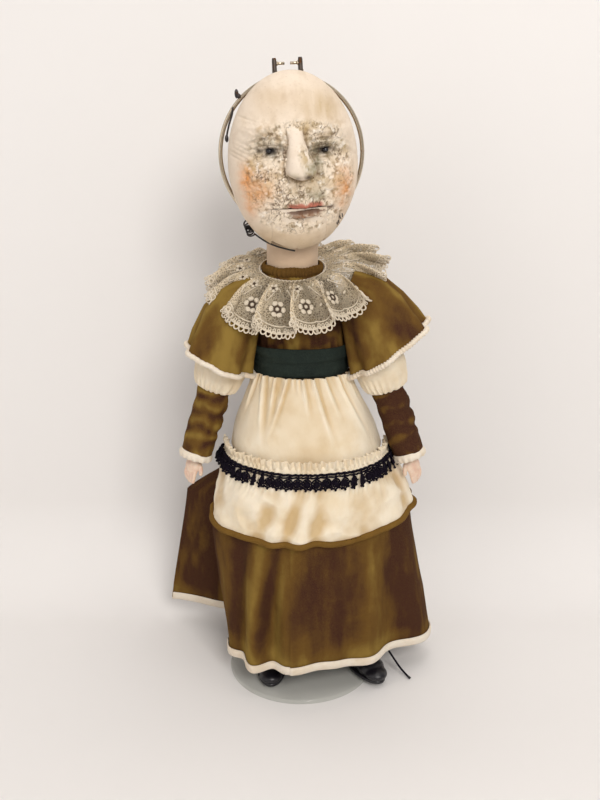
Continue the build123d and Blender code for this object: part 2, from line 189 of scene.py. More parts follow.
def tube_mesh(path, radius, sides=10, closed=False):
    """(verts, faces) of a round tube along a path. radius is one number or one for each point."""
    p = np.asarray(path, float)
    n = len(p)
    ahead = (np.roll(p, -1, 0) - np.roll(p, 1, 0)) if closed else np.gradient(p, axis=0)
    ahead /= np.linalg.norm(ahead, axis=1)[:, None] + 1e-12
    up = np.array([0.0, 0.0, 1.0]) if abs(ahead[0][2]) < 0.9 else np.array([1.0, 0.0, 0.0])
    sideways = np.cross(ahead[0], up)
    sideways /= np.linalg.norm(sideways)
    r = np.broadcast_to(np.asarray(radius, float), (n,))
    turns = around(sides)
    verts = []
    for i in range(n):
        sideways = sideways - ahead[i] * np.dot(sideways, ahead[i])
        sideways /= np.linalg.norm(sideways)
        other = np.cross(ahead[i], sideways)
        verts.append(p[i] + r[i] * (np.cos(turns)[:, None] * sideways + np.sin(turns)[:, None] * other))
    verts = np.concatenate(verts)
    faces = grid_faces(n, sides, wrap=True)
    if closed:
        last = (n - 1) * sides
        faces += [(last + c, last + (c + 1) % sides, (c + 1) % sides, c) for c in range(sides)]
    else:
        faces += [tuple(range(sides))[::-1], tuple((n - 1) * sides + c for c in range(sides))]
    return verts, faces


def ball_mesh(centre, semi, turn=None, rows=8, cols=12):
    lat = np.linspace(-math.pi / 2, math.pi / 2, rows)
    lon = around(cols)
    a, o = np.meshgrid(lat, lon, indexing="ij")
    v = (np.stack([np.cos(a) * np.cos(o), np.cos(a) * np.sin(o), np.sin(a)],
                  -1).reshape(-1, 3) * np.asarray(semi, float))
    if turn is not None:
        v = v @ np.asarray(turn, float).T
    return v + np.asarray(centre, float), grid_faces(rows, cols, wrap=True)


class Pile:
    """Several small meshes gathered into one piece."""

    def __init__(self):
        self.verts, self.faces, self.count = [], [], 0

    def add(self, mesh):
        verts, faces = mesh
        self.verts.append(np.asarray(verts, float))
        self.faces += [tuple(i + self.count for i in f) for f in faces]
        self.count += len(verts)
        return self

    def tube(self, path, radius, sides=8, closed=False):
        return self.add(tube_mesh(path, radius, sides, closed))

    def ball(self, centre, semi, turn=None, rows=7, cols=10):
        return self.add(ball_mesh(centre, semi, turn, rows, cols))

    def build(self, name, look):
        return add_mesh(name, np.concatenate(self.verts), self.faces, look)


def remesh(obj, size, relax):
    """Melts overlapping shapes into one skin."""
    melt = obj.modifiers.new("melt", "REMESH")
    melt.mode = "VOXEL"
    melt.voxel_size = size * MM
    melt.use_smooth_shade = True
    soft = obj.modifiers.new("soften", "SMOOTH")
    soft.iterations = relax
    soft.factor = 0.5
    return obj


def frame_of(axis_z, hint=(0, -1, 0)):
    """A rotation whose columns are x, y, z, with z along the given direction."""
    z = np.asarray(axis_z, float)
    z = z / np.linalg.norm(z)
    x = np.cross(np.asarray(hint, float), z)
    x /= np.linalg.norm(x)
    return np.stack([x, np.cross(z, x), z], 1)


# ---------------------------------------------------------------- materials
class Look:
    """Builds one node material, a step at a time."""

    def __init__(self, name, rough=0.6, metal=0.0):
        self.mat = bpy.data.materials.new(name)
        self.mat.use_nodes = True
        self.nodes, self.links = self.mat.node_tree.nodes, self.mat.node_tree.links
        self.bsdf = self.nodes["Principled BSDF"]
        self.bsdf.inputs["Roughness"].default_value = rough
        self.bsdf.inputs["Metallic"].default_value = metal
        self.place = self.nodes.new("ShaderNodeTexCoord").outputs["Object"]
        self.heights = []

    def _in(self, socket, value):
        if isinstance(value, bpy.types.NodeSocket):
            self.links.new(value, socket)
        elif isinstance(value, (tuple, list)) and len(value) == 3 and socket.type == "RGBA":
            socket.default_value = (*value, 1)
        else:
            socket.default_value = value

    def noise(self, scale, detail=3.0, rough=0.55, twist=0.0, stretch=None):
        n = self.nodes.new("ShaderNodeTexNoise")
        place = self.place
        if stretch:
            m = self.nodes.new("ShaderNodeMapping")
            m.inputs["Scale"].default_value = stretch
            self.links.new(place, m.inputs["Vector"])
            place = m.outputs["Vector"]
        self.links.new(place, n.inputs["Vector"])
        for key, value in (("Scale", scale), ("Detail", detail), ("Roughness", rough), ("Distortion", twist)):
            n.inputs[key].default_value = value
        return n.outputs["Fac"]

    def wave(self, scale, axis="X", twist=0.0):
        n = self.nodes.new("ShaderNodeTexWave")
        n.bands_direction = axis
        self.links.new(self.place, n.inputs["Vector"])
        n.inputs["Scale"].default_value = scale
        n.inputs["Distortion"].default_value = twist
        return n.outputs["Fac"]

    def cells(self, scale):
        n = self.nodes.new("ShaderNodeTexVoronoi")
        n.feature = "DISTANCE_TO_EDGE"
        n.inputs["Scale"].default_value = scale
        self.links.new(self.place, n.inputs["Vector"])
        return n.outputs["Distance"]

    def step(self, fac, low, high, flip=False):
        n = self.nodes.new("ShaderNodeMapRange")
        n.interpolation_type = "SMOOTHSTEP"
        self.links.new(fac, n.inputs["Value"])
        n.inputs["From Min"].default_value, n.inputs["From Max"].default_value = low, high
        n.inputs["To Min"].default_value, n.inputs["To Max"].default_value = (1, 0) if flip else (0, 1)
        return n.outputs["Result"]

    def maths(self, kind, a, b=0.5):
        n = self.nodes.new("ShaderNodeMath")
        n.operation = kind
        self._in(n.inputs[0], a)
        self._in(n.inputs[1], b)
        return n.outputs[0]

    def mix(self, fac, a, b, kind="MIX"):
        n = self.nodes.new("ShaderNodeMix")
        n.data_type = "RGBA"
        n.blend_type = kind
        self._in(n.inputs[0], fac)
        self._in(n.inputs[6], a)
        self._in(n.inputs[7], b)
        return n.outputs[2]

    def tint(self):
        n = self.nodes.new("ShaderNodeAttribute")
        n.attribute_name = "tint"
        return n.outputs["Color"]

    def color(self, value):
        self._in(self.bsdf.inputs["Base Color"], value)
        return self

    def rough(self, value):
        self._in(self.bsdf.inputs["Roughness"], value)
        return self

    def sheen(self, weight, rough=0.4, tint=(1, 1, 1)):
        self.bsdf.inputs["Sheen Weight"].default_value = weight
        self.bsdf.inputs["Sheen Roughness"].default_value = rough
        self.bsdf.inputs["Sheen Tint"].default_value = (*tint, 1)
        return self

    def bump(self, height, depth_mm, strength=1.0):
        n = self.nodes.new("ShaderNodeBump")
        n.inputs["Distance"].default_value = depth_mm * MM
        n.inputs["Strength"].default_value = strength
        self.links.new(height, n.inputs["Height"])
        if self.heights:
            self.links.new(self.heights[-1], n.inputs["Normal"])
        self.heights.append(n.outputs["Normal"])
        self.links.new(n.outputs["Normal"], self.bsdf.inputs["Normal"])
        return self


def velvet(name, dark, mid, light, shaded=False):
    """Cotton velvet: short pile in gold and wine-dark patches. With shaded set, its vertex tint adds painted
    highlight on the fold crests and painted shade in the folds.
    """
    k = Look(name, rough=0.9)
    patches = k.noise(22, 5, 0.66, 0.4)
    brushed = k.noise(60, 4, 0.65, 0.5, stretch=(1, 1, 0.25))
    cord = k.wave(520, "X", 0.6)
    pile = k.noise(1500, 2, 0.7)
    share = k.maths("ADD", k.maths("MULTIPLY", patches, 0.45), k.maths("MULTIPLY", brushed, 0.30))
    share = k.maths("ADD", share, 0.175)
    # Where shaded, the vertex tint shifts the colour: painted highlight above 0.5, painted shade below it.
    if shaded:
        share = k.maths("ADD", share, k.maths("SUBTRACT", k.tint(), 0.5))
    base = k.mix(k.step(share, 0.30, 0.60), dark, mid)
    base = k.mix(k.step(share, 0.56, 0.88), base, light)
    base = k.mix(k.maths("MULTIPLY", k.step(pile, 0.35, 0.75), 0.22), base, light)
    base = k.mix(k.maths("MULTIPLY", cord, 0.16), base, dark)
    k.color(base).sheen(0.12, 0.4, light).bump(pile, 0.35, 0.7).bump(brushed, 0.8, 0.35).bump(cord, 0.12, 0.4)
    k.bsdf.inputs["Specular IOR Level"].default_value = 0.05
    return k.mat


def cotton(name, light, dark, crease=0.5, weave=2200, shaded=False):
    """Fine plain-woven cotton, a little yellowed in patches."""
    k = Look(name, rough=0.8)
    age = k.noise(28, 4, 0.6)
    warp, weft = k.wave(weave, "X"), k.wave(weave, "Z")
    threads = k.maths("MULTIPLY", warp, weft)
    base = k.mix(k.step(age, 0.38, 0.72), light, dark)
    base = k.mix(k.maths("MULTIPLY", threads, 0.12), base, dark)
    # With shaded, the vertex tint multiplies in painted shade at the bottom of folds, together with
    # yellowing.
    if shaded:
        base = k.mix(1.0, base, k.tint(), "MULTIPLY")
    k.color(base).sheen(0.15, 0.5).bump(threads, 0.12,
                                        0.5).bump(k.noise(90, 4, 0.6, 0.8, stretch=(1, 1, 0.5)), 1.6, crease)
    k.bsdf.inputs["Subsurface Weight"].default_value = 0.06
    k.bsdf.inputs["Subsurface Radius"].default_value = (0.004, 0.003, 0.002)
    k.bsdf.inputs["Specular IOR Level"].default_value = 0.25
    return k.mat


def metal(name, color, rough, rust=(0.16, 0.07, 0.03), amount=0.66):
    k = Look(name, rough=rough, metal=1.0)
    spots = k.step(k.noise(160, 5, 0.65), amount, amount + 0.1)
    k.color(k.mix(spots, color, rust))
    k.rough(k.maths("ADD", k.maths("MULTIPLY", spots, 0.5), rough))
    k.bump(k.noise(900, 3), 0.08, 0.5)
    k.bsdf.inputs["Metallic"].default_value = 0.9
    return k.mat


def timber(name, light, dark):
    k = Look(name, rough=0.55)
    grain = k.noise(120, 4, 0.6, 1.2, stretch=(1, 1, 0.08))
    k.color(k.mix(k.step(grain, 0.3, 0.7), light, dark)).bump(grain, 0.2, 0.5)
    return k.mat


def plaster(name, painted=True):
    """Chalky composition. Where it is painted, its colour is the piece's vertex tint."""
    k = Look(name, rough=0.72)
    fine = k.noise(420, 5, 0.65)
    mottled = k.noise(70, 4, 0.6)
    base = k.tint() if painted else k.mix(k.step(mottled, 0.3, 0.7), (0.80, 0.70, 0.58), (0.70, 0.58, 0.45))
    base = k.mix(k.maths("MULTIPLY", k.step(mottled, 0.45, 0.75), 0.22), base, (0.62, 0.50, 0.36), "MULTIPLY")
    base = k.mix(k.maths("MULTIPLY", k.step(fine, 0.55, 0.75), 0.25), base, (0.45, 0.38, 0.27), "MULTIPLY")
    k.color(base).bump(fine, 0.35, 0.5).bump(k.noise(1400, 3, 0.6), 0.1, 0.5)
    k.bsdf.inputs["Specular IOR Level"].default_value = 0.3
    return k.mat


def glass_bead():
    k = Look("bead", rough=0.12)
    k.color(k.mix(k.noise(300, 3), (0.006, 0.006, 0.008), (0.02, 0.018, 0.02)))
    return k.mat


def clear_acrylic():
    k = Look("clear acrylic", rough=0.08)
    k.color((0.62, 0.64, 0.58)).rough(k.maths("MULTIPLY", k.step(k.noise(240, 5), 0.4, 0.9), 0.3))
    k.bsdf.inputs["Alpha"].default_value = 0.30
    return k.mat


def bisque():
    k = Look("bisque", rough=0.35)
    blotch = k.noise(160, 3)
    k.color(k.mix(k.step(blotch, 0.35, 0.7), (0.80, 0.62, 0.48),
                  (0.72, 0.48, 0.36))).bump(k.noise(700, 3), 0.05, 0.5)
    k.bsdf.inputs["Subsurface Weight"].default_value = 0.1
    k.bsdf.inputs["Subsurface Radius"].default_value = (0.004, 0.002, 0.001)
    return k.mat


def black_leather():
    k = Look("black leather", rough=0.35)
    grain = k.cells(900)
    worn = k.noise(70, 4)
    k.color(k.mix(k.step(worn, 0.5, 0.75), (0.008, 0.007, 0.010), (0.03, 0.026, 0.026)))
    k.rough(k.maths("ADD", k.maths("MULTIPLY", worn, 0.3), 0.2)).bump(grain, 0.25, 0.5)
    return k.mat


def black_thread():
    k = Look("cord thread", rough=0.9)
    k.bsdf.inputs["Specular IOR Level"].default_value = 0.08
    k.color(k.mix(k.noise(2000, 2), (0.003, 0.002, 0.006),
                  (0.014, 0.010, 0.018))).bump(k.wave(900, "DIAGONAL"), 0.15, 0.8)
    return k.mat


def ecru_thread():
    k = Look("ecru thread", rough=0.75)
    k.color(k.mix(k.noise(600, 3), (0.86, 0.78, 0.64),
                  (0.68, 0.57, 0.42))).bump(k.wave(1600, "DIAGONAL"), 0.12, 0.8)
    k.sheen(0.1)
    return k.mat


def brown_thread():
    k = Look("brown thread", rough=0.85)
    k.color(k.mix(k.noise(600, 3), (0.10, 0.06, 0.03), (0.05, 0.03, 0.02)))
    return k.mat


def lace_net():
    k = Look("lace net", rough=0.8)
    thread = k.step(k.cells(430), 0.07, 0.13, flip=True)
    # The net's colour is multiplied by the vertex tint, which holds painted shade in the ruffle's valleys and
    # painted light on its crests.
    k.color(k.mix(1.0, k.mix(k.noise(300, 3), (0.76, 0.65, 0.48), (0.56, 0.45, 0.29)), k.tint(), "MULTIPLY"))
    filled = k.step(k.noise(110, 2), 0.52, 0.58)
    cover = k.maths("MAXIMUM", thread, k.maths("MULTIPLY", filled, 0.55))
    k._in(k.bsdf.inputs["Alpha"], k.maths("ADD", k.maths("MULTIPLY", cover, 0.66), 0.26))
    return k.mat


def card():
    k = Look("card", rough=0.9)
    k.color(k.mix(k.noise(90, 4), (0.42, 0.31, 0.20), (0.30, 0.21, 0.12))).bump(k.noise(500, 4), 0.3, 0.5)
    return k.mat


def make_looks():
    return {
        "velvet": velvet("brown velvet", (0.046, 0.015, 0.012), (0.130, 0.066, 0.016), (0.27, 0.175, 0.040)),
        "velvet with painted shade": velvet("velvet with painted shade", (0.046, 0.015, 0.012), (0.130, 0.066, 0.016),
                                 (0.27, 0.175, 0.040), True),
        "piping": velvet("olive velvet piping", (0.085, 0.042, 0.012), (0.17, 0.09, 0.020),
                         (0.30, 0.185, 0.045)),
        "ribbon": velvet("dark green velvet", (0.006, 0.009, 0.010), (0.018, 0.026, 0.022),
                         (0.085, 0.10, 0.075)),
        "cream": cotton("cream cotton", (0.86, 0.76, 0.59), (0.76, 0.62, 0.42)),
        "cream with painted fold shade": cotton("cream with painted fold shade", (0.88, 0.785, 0.62), (0.80, 0.67, 0.47), shaded=True),
        "binding": cotton("white binding", (0.82, 0.74, 0.62), (0.70, 0.58, 0.43), 0.25, 1300),
        # The neck cloth's colours are darkened as painted shadow from the head, over its own tone.
        "neck": cotton("neck cloth with painted shadow", (0.66, 0.49, 0.34), (0.54, 0.385, 0.25), 0.3),
        "nickel": metal("nickel wire", (0.62, 0.53, 0.40), 0.20, amount=0.62),
        "rusty": metal("rusted iron", (0.075, 0.06, 0.05), 0.45, (0.20, 0.085, 0.03), 0.56),
        "iron": metal("dark iron wire", (0.06, 0.055, 0.055), 0.45, (0.13, 0.06, 0.03), 0.6),
        "steel": metal("plain steel", (0.55, 0.55, 0.54), 0.3, amount=0.75),
        "brass": metal("plain brass", (0.60, 0.42, 0.16), 0.35, (0.25, 0.15, 0.06), 0.7),
        "wood": timber("pale wood", (0.52, 0.34, 0.18), (0.36, 0.21, 0.10)),
        "face": plaster("painted plaster"),
        "back": plaster("bare plaster", painted=False),
        "bead": glass_bead(),
        "acrylic": clear_acrylic(),
        "bisque": bisque(),
        "leather": black_leather(),
        "black thread": black_thread(),
        "ecru thread": ecru_thread(),
        "brown thread": brown_thread(),
        "net": lace_net(),
        "card": card(),
    }


LOOK = make_looks()


# ---------------------------------------------------------------- head
HEAD_AXES = np.array((Euler((0, 0, math.radians(HEAD_TURN))).to_matrix()
                      @ Euler((0, math.radians(HEAD_LEAN), 0)).to_matrix()))


def head(points):
    """From the head's own frame at the nod pin to the row frame."""
    p = np.asarray(points, float)
    return p @ HEAD_AXES.T + np.array([NECK_X, NECK_Y, NOD_Z])


def worked_zone(x, z):
    """1 in the crackled, modelled middle of the face, 0 on the smooth forehead, cheeks and chin."""
    wobble = 0.10 * lumps(x, z, 12, 3, 3)
    r = np.abs((x - 2) / 48) ** 2.6 + np.abs((z - 51) / 48) ** 2.8
    return smooth(1.20, 0.82, r + 1.6 * wobble)


def nose_line(z):
    """The middle of the nose, which runs a little askew."""
    return 0.8 - 0.11 * (z - 66)


def nose_edge(x, z):
    """Signed distance in millimetres outside the nose's footprint, roughly."""
    half = 6.8 + 7.4 * smooth(86, 60, z)
    side = np.abs(x - nose_line(z)) - half
    ends = np.maximum(z - 96, 50 + 0.3 * np.abs(x - 1) - z)
    return np.maximum(side, ends)


# Plate size, seed, depth and width of line for the coarse cracks and the fine ones.
CRACKS = ((9.5, 21, 0.7, 0.5), (3.6, 33, 0.40, 0.34))


def warped_plates(x, z, size, seed):
    """The cells of crack_cells with their outlines bent by noise."""
    warp = 0.9 * size
    across = x + warp * lumps(x, z, size, 2, seed)
    return crack_cells(across, z + warp * lumps(z, x, size, 2, seed + 1), size, seed)


def mouth(x, z):
    """Distance sideways from the mouth's middle, the height of the lips' line, and that of the jaw's cut."""
    mx = x - 5.0
    line = 23.6 + 0.5 * np.sin(mx * 0.2)
    return mx, line, line + 0.9 * lumps(x, z * 0, 9, 2, 4) * smooth(12, 20, np.abs(mx))


def face_height(x, z):
    """How far the face stands out from its egg shape, in millimetres."""
    zone = worked_zone(x, z)
    h = 0.55 * lumps(x, z, 38, 2, 1) + 0.25 * lumps(x, z, 7, 3, 2)
    for ex, lid, sign in ((-25.0, 76.0, -1), (24.5, 74.5, 1)):
        u, w = x - ex, z - lid
        h = h - 6.0 * bell(np.hypot(u / 1.5, w + 1), 9.5)
        arch = w - 6.5 + 0.012 * u * u
        h = h + 2.4 * bell(arch, 3.4) * bell(u, 17)
        h = h + 1.3 * np.sin(arch * 1.7 + 1.6 * lumps(x, z, 7, 3, 8)) * bell(arch - 2, 6) * bell(u, 16)
        h = h + 2.4 * bell(w - 3.6 + 0.02 * u * u, 1.5) * bell(u, 9)
        h = h + 2.2 * bell(w + 4.4 - 0.012 * u * u, 1.9) * bell(u, 12)
        h = h + 0.8 * np.sin(w * 2.2 + 1.2 * lumps(x, z, 6, 2, 9)) * bell(w + 8, 4) * bell(u, 12)
        h = h + (2.2 + 2.0 * lumps(x, z, 4.5, 3, 80)) * bell(w - 17, 7) * bell(u - 4 * sign, 18)
        for k in range(5):
            corner = u - sign * (17 + 3 * k)
            h = h - 0.7 * bell(corner * 0.5 + (w - 3 + 2.4 * k), 1.1) * bell(corner, 7)
    h = h + 2.6 * (bell(np.hypot(x + 33, (z - 44)), 17) + bell(np.hypot(x - 37, (z - 44)), 16))
    h = h - 1.6 * bell(x + 20 - 0.55 * (44 - z), 3.2) * smooth(50, 40, z) * smooth(20, 30, z)
    h = h - 1.6 * bell(x - 25 + 0.45 * (44 - z), 3.2) * smooth(50, 40, z) * smooth(20, 30, z)
    edge = nose_edge(x, z)
    h = h - 2.2 * bell(edge - 1.2, 1.3) * smooth(98, 88, z)
    mx, line, seam = mouth(x, z)
    lip = bell(mx, 16)
    h = h + 3.2 * bell(z - line - 3.0 - 1.2 * bell(np.abs(mx) - 5, 4), 2.5) * lip
    h = h + (4.0 + 1.1 * lumps(x, z, 3, 2, 81)) * bell(z - line + 4.6, 3.6) * bell(mx, 13)
    h = h - 1.4 * bell(z - line + 9.5, 3.2) * bell(mx, 18)
    h = h - 2.4 * bell(z - line, 0.75) * smooth(17, 13, np.abs(mx))
    h = h - 0.9 * bell(z - seam, 0.7) * smooth(-40, -30, mx) * smooth(25, 21, mx)
    h = h - 1.3 * bell(np.hypot((np.abs(mx) - 17) / 1.6, z - line + 0.6), 2.2)
    h = h + 2.4 * bell(np.hypot(x - 3, (z + 2) * 1.1), 20)
    for size, seed, depth, _ in CRACKS:
        gap, level = warped_plates(x, z, size, seed)
        h = h + zone * (depth * 0.8 * (level - 0.5) - depth * bell(gap, 0.42))
    h = h + zone * (0.7 * lumps(x, z, 2.2, 2, 41) + 0.9 * lumps(x, z, 6.5, 2, 42))
    scratch = bell(z - 100 + 0.9 * (x + 35) * 0.4, 0.9) * bell(x + 42, 7)
    return (h - 0.7 * scratch
            - 0.5 * bell(x - 38 - 0.10 * (z - 10), 0.6) * smooth(22, 16, z) * smooth(-18, -4, z))


def face_cracks(x, z):
    """1 along the fine cracks of the worked zone, 0 between them."""
    lines = np.zeros(x.shape)
    for size, seed, _, width in CRACKS:
        gap, _ = warped_plates(x, z, size, seed)
        patchy = smooth(-0.15, 0.35, lumps(x, z, 9, 3, seed + 2))
        lines = np.maximum(lines, bell(gap, width) * patchy)
    fan_x, fan_z = x + 14.0, z - 27.0
    spoke = np.abs(np.sin(5.5 * np.arctan2(fan_z, fan_x) + 0.8 * lumps(x, z, 9, 2, 67)))
    reach = np.hypot(fan_x, fan_z)
    lines = np.maximum(lines,
                       0.8 * bell(spoke * reach / 5.5, 0.35) * smooth(2, 5, reach) * smooth(19, 11, reach))
    return lines


def face_tint(x, z):
    zone = worked_zone(x, z)
    base = np.stack([np.full(x.shape, c) for c in (0.80, 0.685, 0.555)], -1)

    def lay(color, amount):
        nonlocal base
        a = np.clip(amount, 0, 1)[..., None]
        base = base * (1 - a) + np.array(color) * a

    lay((0.72, 0.585, 0.435), 0.6 * smooth(0.0, 0.8, lumps(x, z, 30, 3, 51)))
    streaks = 0.75 + 0.55 * lumps(x, z * 0.25, 5, 3, 70)
    lay((0.56, 0.42, 0.25), 1.0 * bell(np.hypot((x - 24) / 1.5, z - 110), 13) * streaks)
    lay((0.50, 0.36, 0.20), 0.75 * bell(np.hypot((x + 30) / 1.5, z - 94),
                                        7) * smooth(-0.2, 0.5, lumps(x, z, 4, 3, 78)))
    lay((0.50, 0.36, 0.20), 0.75 * bell(np.hypot((x - 30) / 1.7, z - 93),
                                        7) * smooth(-0.2, 0.5, lumps(x, z, 4, 3, 79)))
    lay((0.58, 0.44, 0.28), 0.55 * bell(np.hypot((x + 10) / 2.0, z - 119), 10) * streaks)
    lay((0.58, 0.43, 0.26), 0.85 * smooth(22, -6, z) * (0.7 + 0.5 * lumps(x, z * 0.6, 14, 3, 52)))
    lay((0.55, 0.42, 0.27), 0.30 * smooth(0.1, 0.7, lumps(x, z * 0.5, 10, 3, 71)))
    lay((0.84, 0.725, 0.575), 0.75 * zone)
    lay((0.42, 0.30, 0.16), zone * 0.65 * smooth(0.0, 0.65, lumps(x, z, 8, 3, 53)))
    lay((0.24, 0.17, 0.08), zone * 0.75 * smooth(0.08, 0.50, lumps(x, z, 3.0, 3, 54)))
    lay((0.10, 0.06, 0.03), zone * 0.30 * smooth(0.34, 0.62, lumps(x, z, 1.8, 2, 68)))
    lay((0.50, 0.36, 0.17), zone * 0.65 * smooth(-0.05, 0.55, lumps(x, z, 12, 3, 69)) * smooth(20, 62, z))
    lay((0.97, 0.90, 0.79), zone * 0.85 * smooth(0.15, 0.55, lumps(x, z, 3.6, 3, 59)))
    for ex, ez in ((-25.0, 76.0), (25.0, 74.5)):
        shadow = 0.7 + 0.6 * lumps(x, z, 4, 3, 55)
        grain = smooth(-0.35, 0.45, lumps(x, z, 2.6, 3, 72))
        lay((0.20, 0.165, 0.10),
            1.0 * bell(np.hypot((x - ex * 1.06) / 1.8, z - ez - 3), 9.5) * shadow * (0.20 + 1.0 * grain))
        lay((0.07, 0.06, 0.045),
            0.90 * bell(np.hypot((x - ex * 1.02) / 2.6, z - ez + 0.5), 4.0) * shadow * (0.5 + 0.6 * grain))
        lay((0.75, 0.68, 0.54), 0.55 * bell(np.hypot((x - ex * 1.04) / 2.2, z - ez - 7), 3.2) * (1 - grain))
        slit = z - ez - 0.5 + 0.016 * (x - ex) ** 2
        lay((0.020, 0.016, 0.016), 0.92 * bell(slit - 1.6, 1.0) * bell(x - ex, 12) * (0.6 + 0.5 * grain))
        lay((0.012, 0.010, 0.014), 0.95 * bell(np.hypot((x - ex) / 2.0, z - ez), 2.4))
        # Light and dark strokes along the brow ridges: painted highlight on the ridge crests and painted
        # shade in the grooves beside them.
        arch = z - ez - 6.5 + 0.012 * (x - ex) ** 2
        lay((0.82, 0.74, 0.58), 0.6 * bell(arch - 1.0,
                                           1.1) * bell(x - ex, 14) * smooth(-0.2, 0.4, lumps(x, z, 3, 2, 60)))
        lay((0.10, 0.07, 0.04), 0.8 * bell(arch + 1.6, 0.7) * bell(x - ex, 15))
        lay((0.12, 0.08, 0.05), 0.7 * bell(arch - 4.4,
                                           0.7) * bell(x - ex, 16) * smooth(-0.3, 0.3, lumps(x, z, 5, 2, 63)))
    lay((0.18, 0.165, 0.095),
        0.95 * bell(np.hypot(x - 15, (z - 64) / 1.7), 6.0) * (0.8 + 0.6 * lumps(x, z, 3, 2, 64)))
    lay((0.22, 0.21, 0.12), 0.7 * bell(np.hypot((x - 15) / 1.4, (z - 36)),
                                       6) * (0.8 + 0.6 * lumps(x, z, 3, 2, 65)))
    for cx, cz, wide, tall, strength in ((-46, 52, 5.5, 11, 0.80), (-36, 42, 13, 14, 0.50),
                                         (-43, 28, 6, 11, 0.55), (41, 40, 9, 18, 0.62)):
        lay((0.74, 0.31, 0.085), 1.25 * strength * bell(np.hypot((x - cx) / wide, (z - cz) / tall),
                                                        1) * (0.75 + 0.6 * lumps(x, z, 4, 3, 56)))
    mx, line, seam = mouth(x, z)
    bow = 1.1 * bell(np.abs(mx) - 5, 4) - 0.9 * bell(mx, 2)
    lay((0.48, 0.14, 0.09), 0.95 * smooth(6.0 + bow, 4.2 + bow,
                                          z - line) * smooth(-1, 0.5, z - line) * smooth(18, 13, np.abs(mx)))
    lay((0.27, 0.135, 0.07),
        1.1 * bell(z - line + 4.6, 4.4) * smooth(16, 10, np.abs(mx)) * (0.8 + 0.6 * lumps(x, z, 3, 2, 57)))
    lay((0.62, 0.50, 0.38), 0.35 * bell(z - line + 5,
                                        3) * bell(mx, 12) * smooth(0.1, 0.5, lumps(x, z, 2.2, 2, 82)))
    # Painted shade along the top of the jaw, just under the mouth line.
    lay((0.15, 0.075, 0.045),
        0.85 * smooth(-4.0, -2.4, z - line) * smooth(0.6, 0.0, z - line) * smooth(21, 15, np.abs(mx)))
    lay((0.05, 0.02, 0.016), 0.97 * bell(z - line - 0.3, 1.6) * smooth(16.5, 13, np.abs(mx)))
    lay((0.13, 0.07, 0.035), 0.6 * bell(z - seam, 0.8) * smooth(-38, -28, mx) * smooth(25, 21, mx))
    lay((0.14, 0.075, 0.04), 0.8 * bell(np.hypot((np.abs(mx) - 18) / 1.8, z - line + 0.5), 1.7))
    lay((0.10, 0.05, 0.03), 0.9 * bell(np.hypot((mx - 23) / 2.0, z - line - 0.8), 1.9))
    lay((0.12, 0.07, 0.035),
        1.0 * face_cracks(x, z) * zone * (0.55 + 0.6 * smooth(-0.3, 0.5, lumps(x, z, 11, 2, 73))))
    edge = nose_edge(x, z)
    lay((0.16, 0.10, 0.05), 0.85 * bell(edge - 1.0, 0.8) * smooth(98, 90,
                                                                  z) * (0.75 + 0.5 * lumps(x, z, 6, 2, 66)))
    for sx, sz, sw in ((38.5, 12, 2.4), (36.5, 6, 1.8)):
        lay((0.05, 0.04, 0.04), 0.8 * bell(np.hypot((x - sx) / 0.8, (z - sz) / sw), 1))
    lay((0.20, 0.14, 0.08), 0.5 * bell(x - 38 - 0.10 * (z - 10),
                                       0.8) * smooth(22, 16, z) * smooth(-18, -4, z))
    return base


def mask_point(x_share, lat, extra=0.0):
    """A point on the egg, from a sideways angle and a height angle."""
    n = np.stack([np.cos(lat) * np.sin(x_share), -np.cos(lat) * np.cos(x_share), np.sin(lat)], -1)
    return MASK_MID + (MASK + np.asarray(extra)[..., None]) * n


def mask_depth(x, z):
    """The y of the egg's front at a place on the face."""
    inside = 1 - (x / MASK[0]) ** 2 - ((z - MASK_MID[2]) / MASK[2]) ** 2
    return MASK_MID[1] - MASK[1] * np.sqrt(np.clip(inside, 0, 1))


def face_part(name, lats, turn, look_keep=None):
    lat = np.broadcast_to(lats[:, None], turn.shape)
    flat = mask_point(turn, lat)
    h = face_height(flat[..., 0], flat[..., 2])
    h = h * smooth(math.pi / 2, 1.25, np.abs(turn)) * smooth(math.pi / 2 - 0.02, 1.35, np.abs(lat))
    tint = face_tint(flat[..., 0], flat[..., 2])
    return grid(name, head(mask_point(turn, lat, h)), LOOK["face"], tint=tint, thick=3.2, keep=look_keep)


def jaw_side(lat, half):
    """The sideways angle at which the mask is half its jaw's width across."""
    return np.arcsin(np.clip(half / (MASK[0] * np.cos(lat)), 0, 0.985))


def make_face():
    """The face shell and, cut from it along the mouth line, the hinged jaw."""
    lat_mouth = math.asin((MOUTH_Z - MASK_MID[2]) / MASK[2])
    low_rows, jaw_cols, side_cols = 90, 110, 84
    lats = np.concatenate([np.linspace(-math.pi / 2 + 0.02, lat_mouth, low_rows),
                           np.linspace(lat_mouth, math.pi / 2 - 0.02, 215)[1:]])
    edge = jaw_side(np.minimum(lats, lat_mouth), JAW_HALF)[:, None]
    right = edge + (math.pi / 2 - edge) * np.linspace(0, 1, side_cols)
    turns = np.concatenate([-right[:, :0:-1], edge * np.linspace(-1, 1, jaw_cols), right[:, 1:]], axis=1)

    def outside_jaw(r, c):
        return not (r < low_rows - 1 and side_cols - 1 <= c < side_cols + jaw_cols - 2)

    face = face_part("face", lats, turns, outside_jaw)
    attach(face, "head")
    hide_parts("face_shell")
    lats = np.linspace(-1.20, lat_mouth - 0.007, low_rows)
    turns = jaw_side(lats, JAW_HALF - 0.4)[:, None] * np.linspace(-1, 1, jaw_cols)
    front = np.cos(lats)[:, None] * np.cos(turns) > 0.345
    jaw = face_part("jaw_front", lats, turns, lambda r, c: bool(front[r, c]))
    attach(jaw, "jaw")


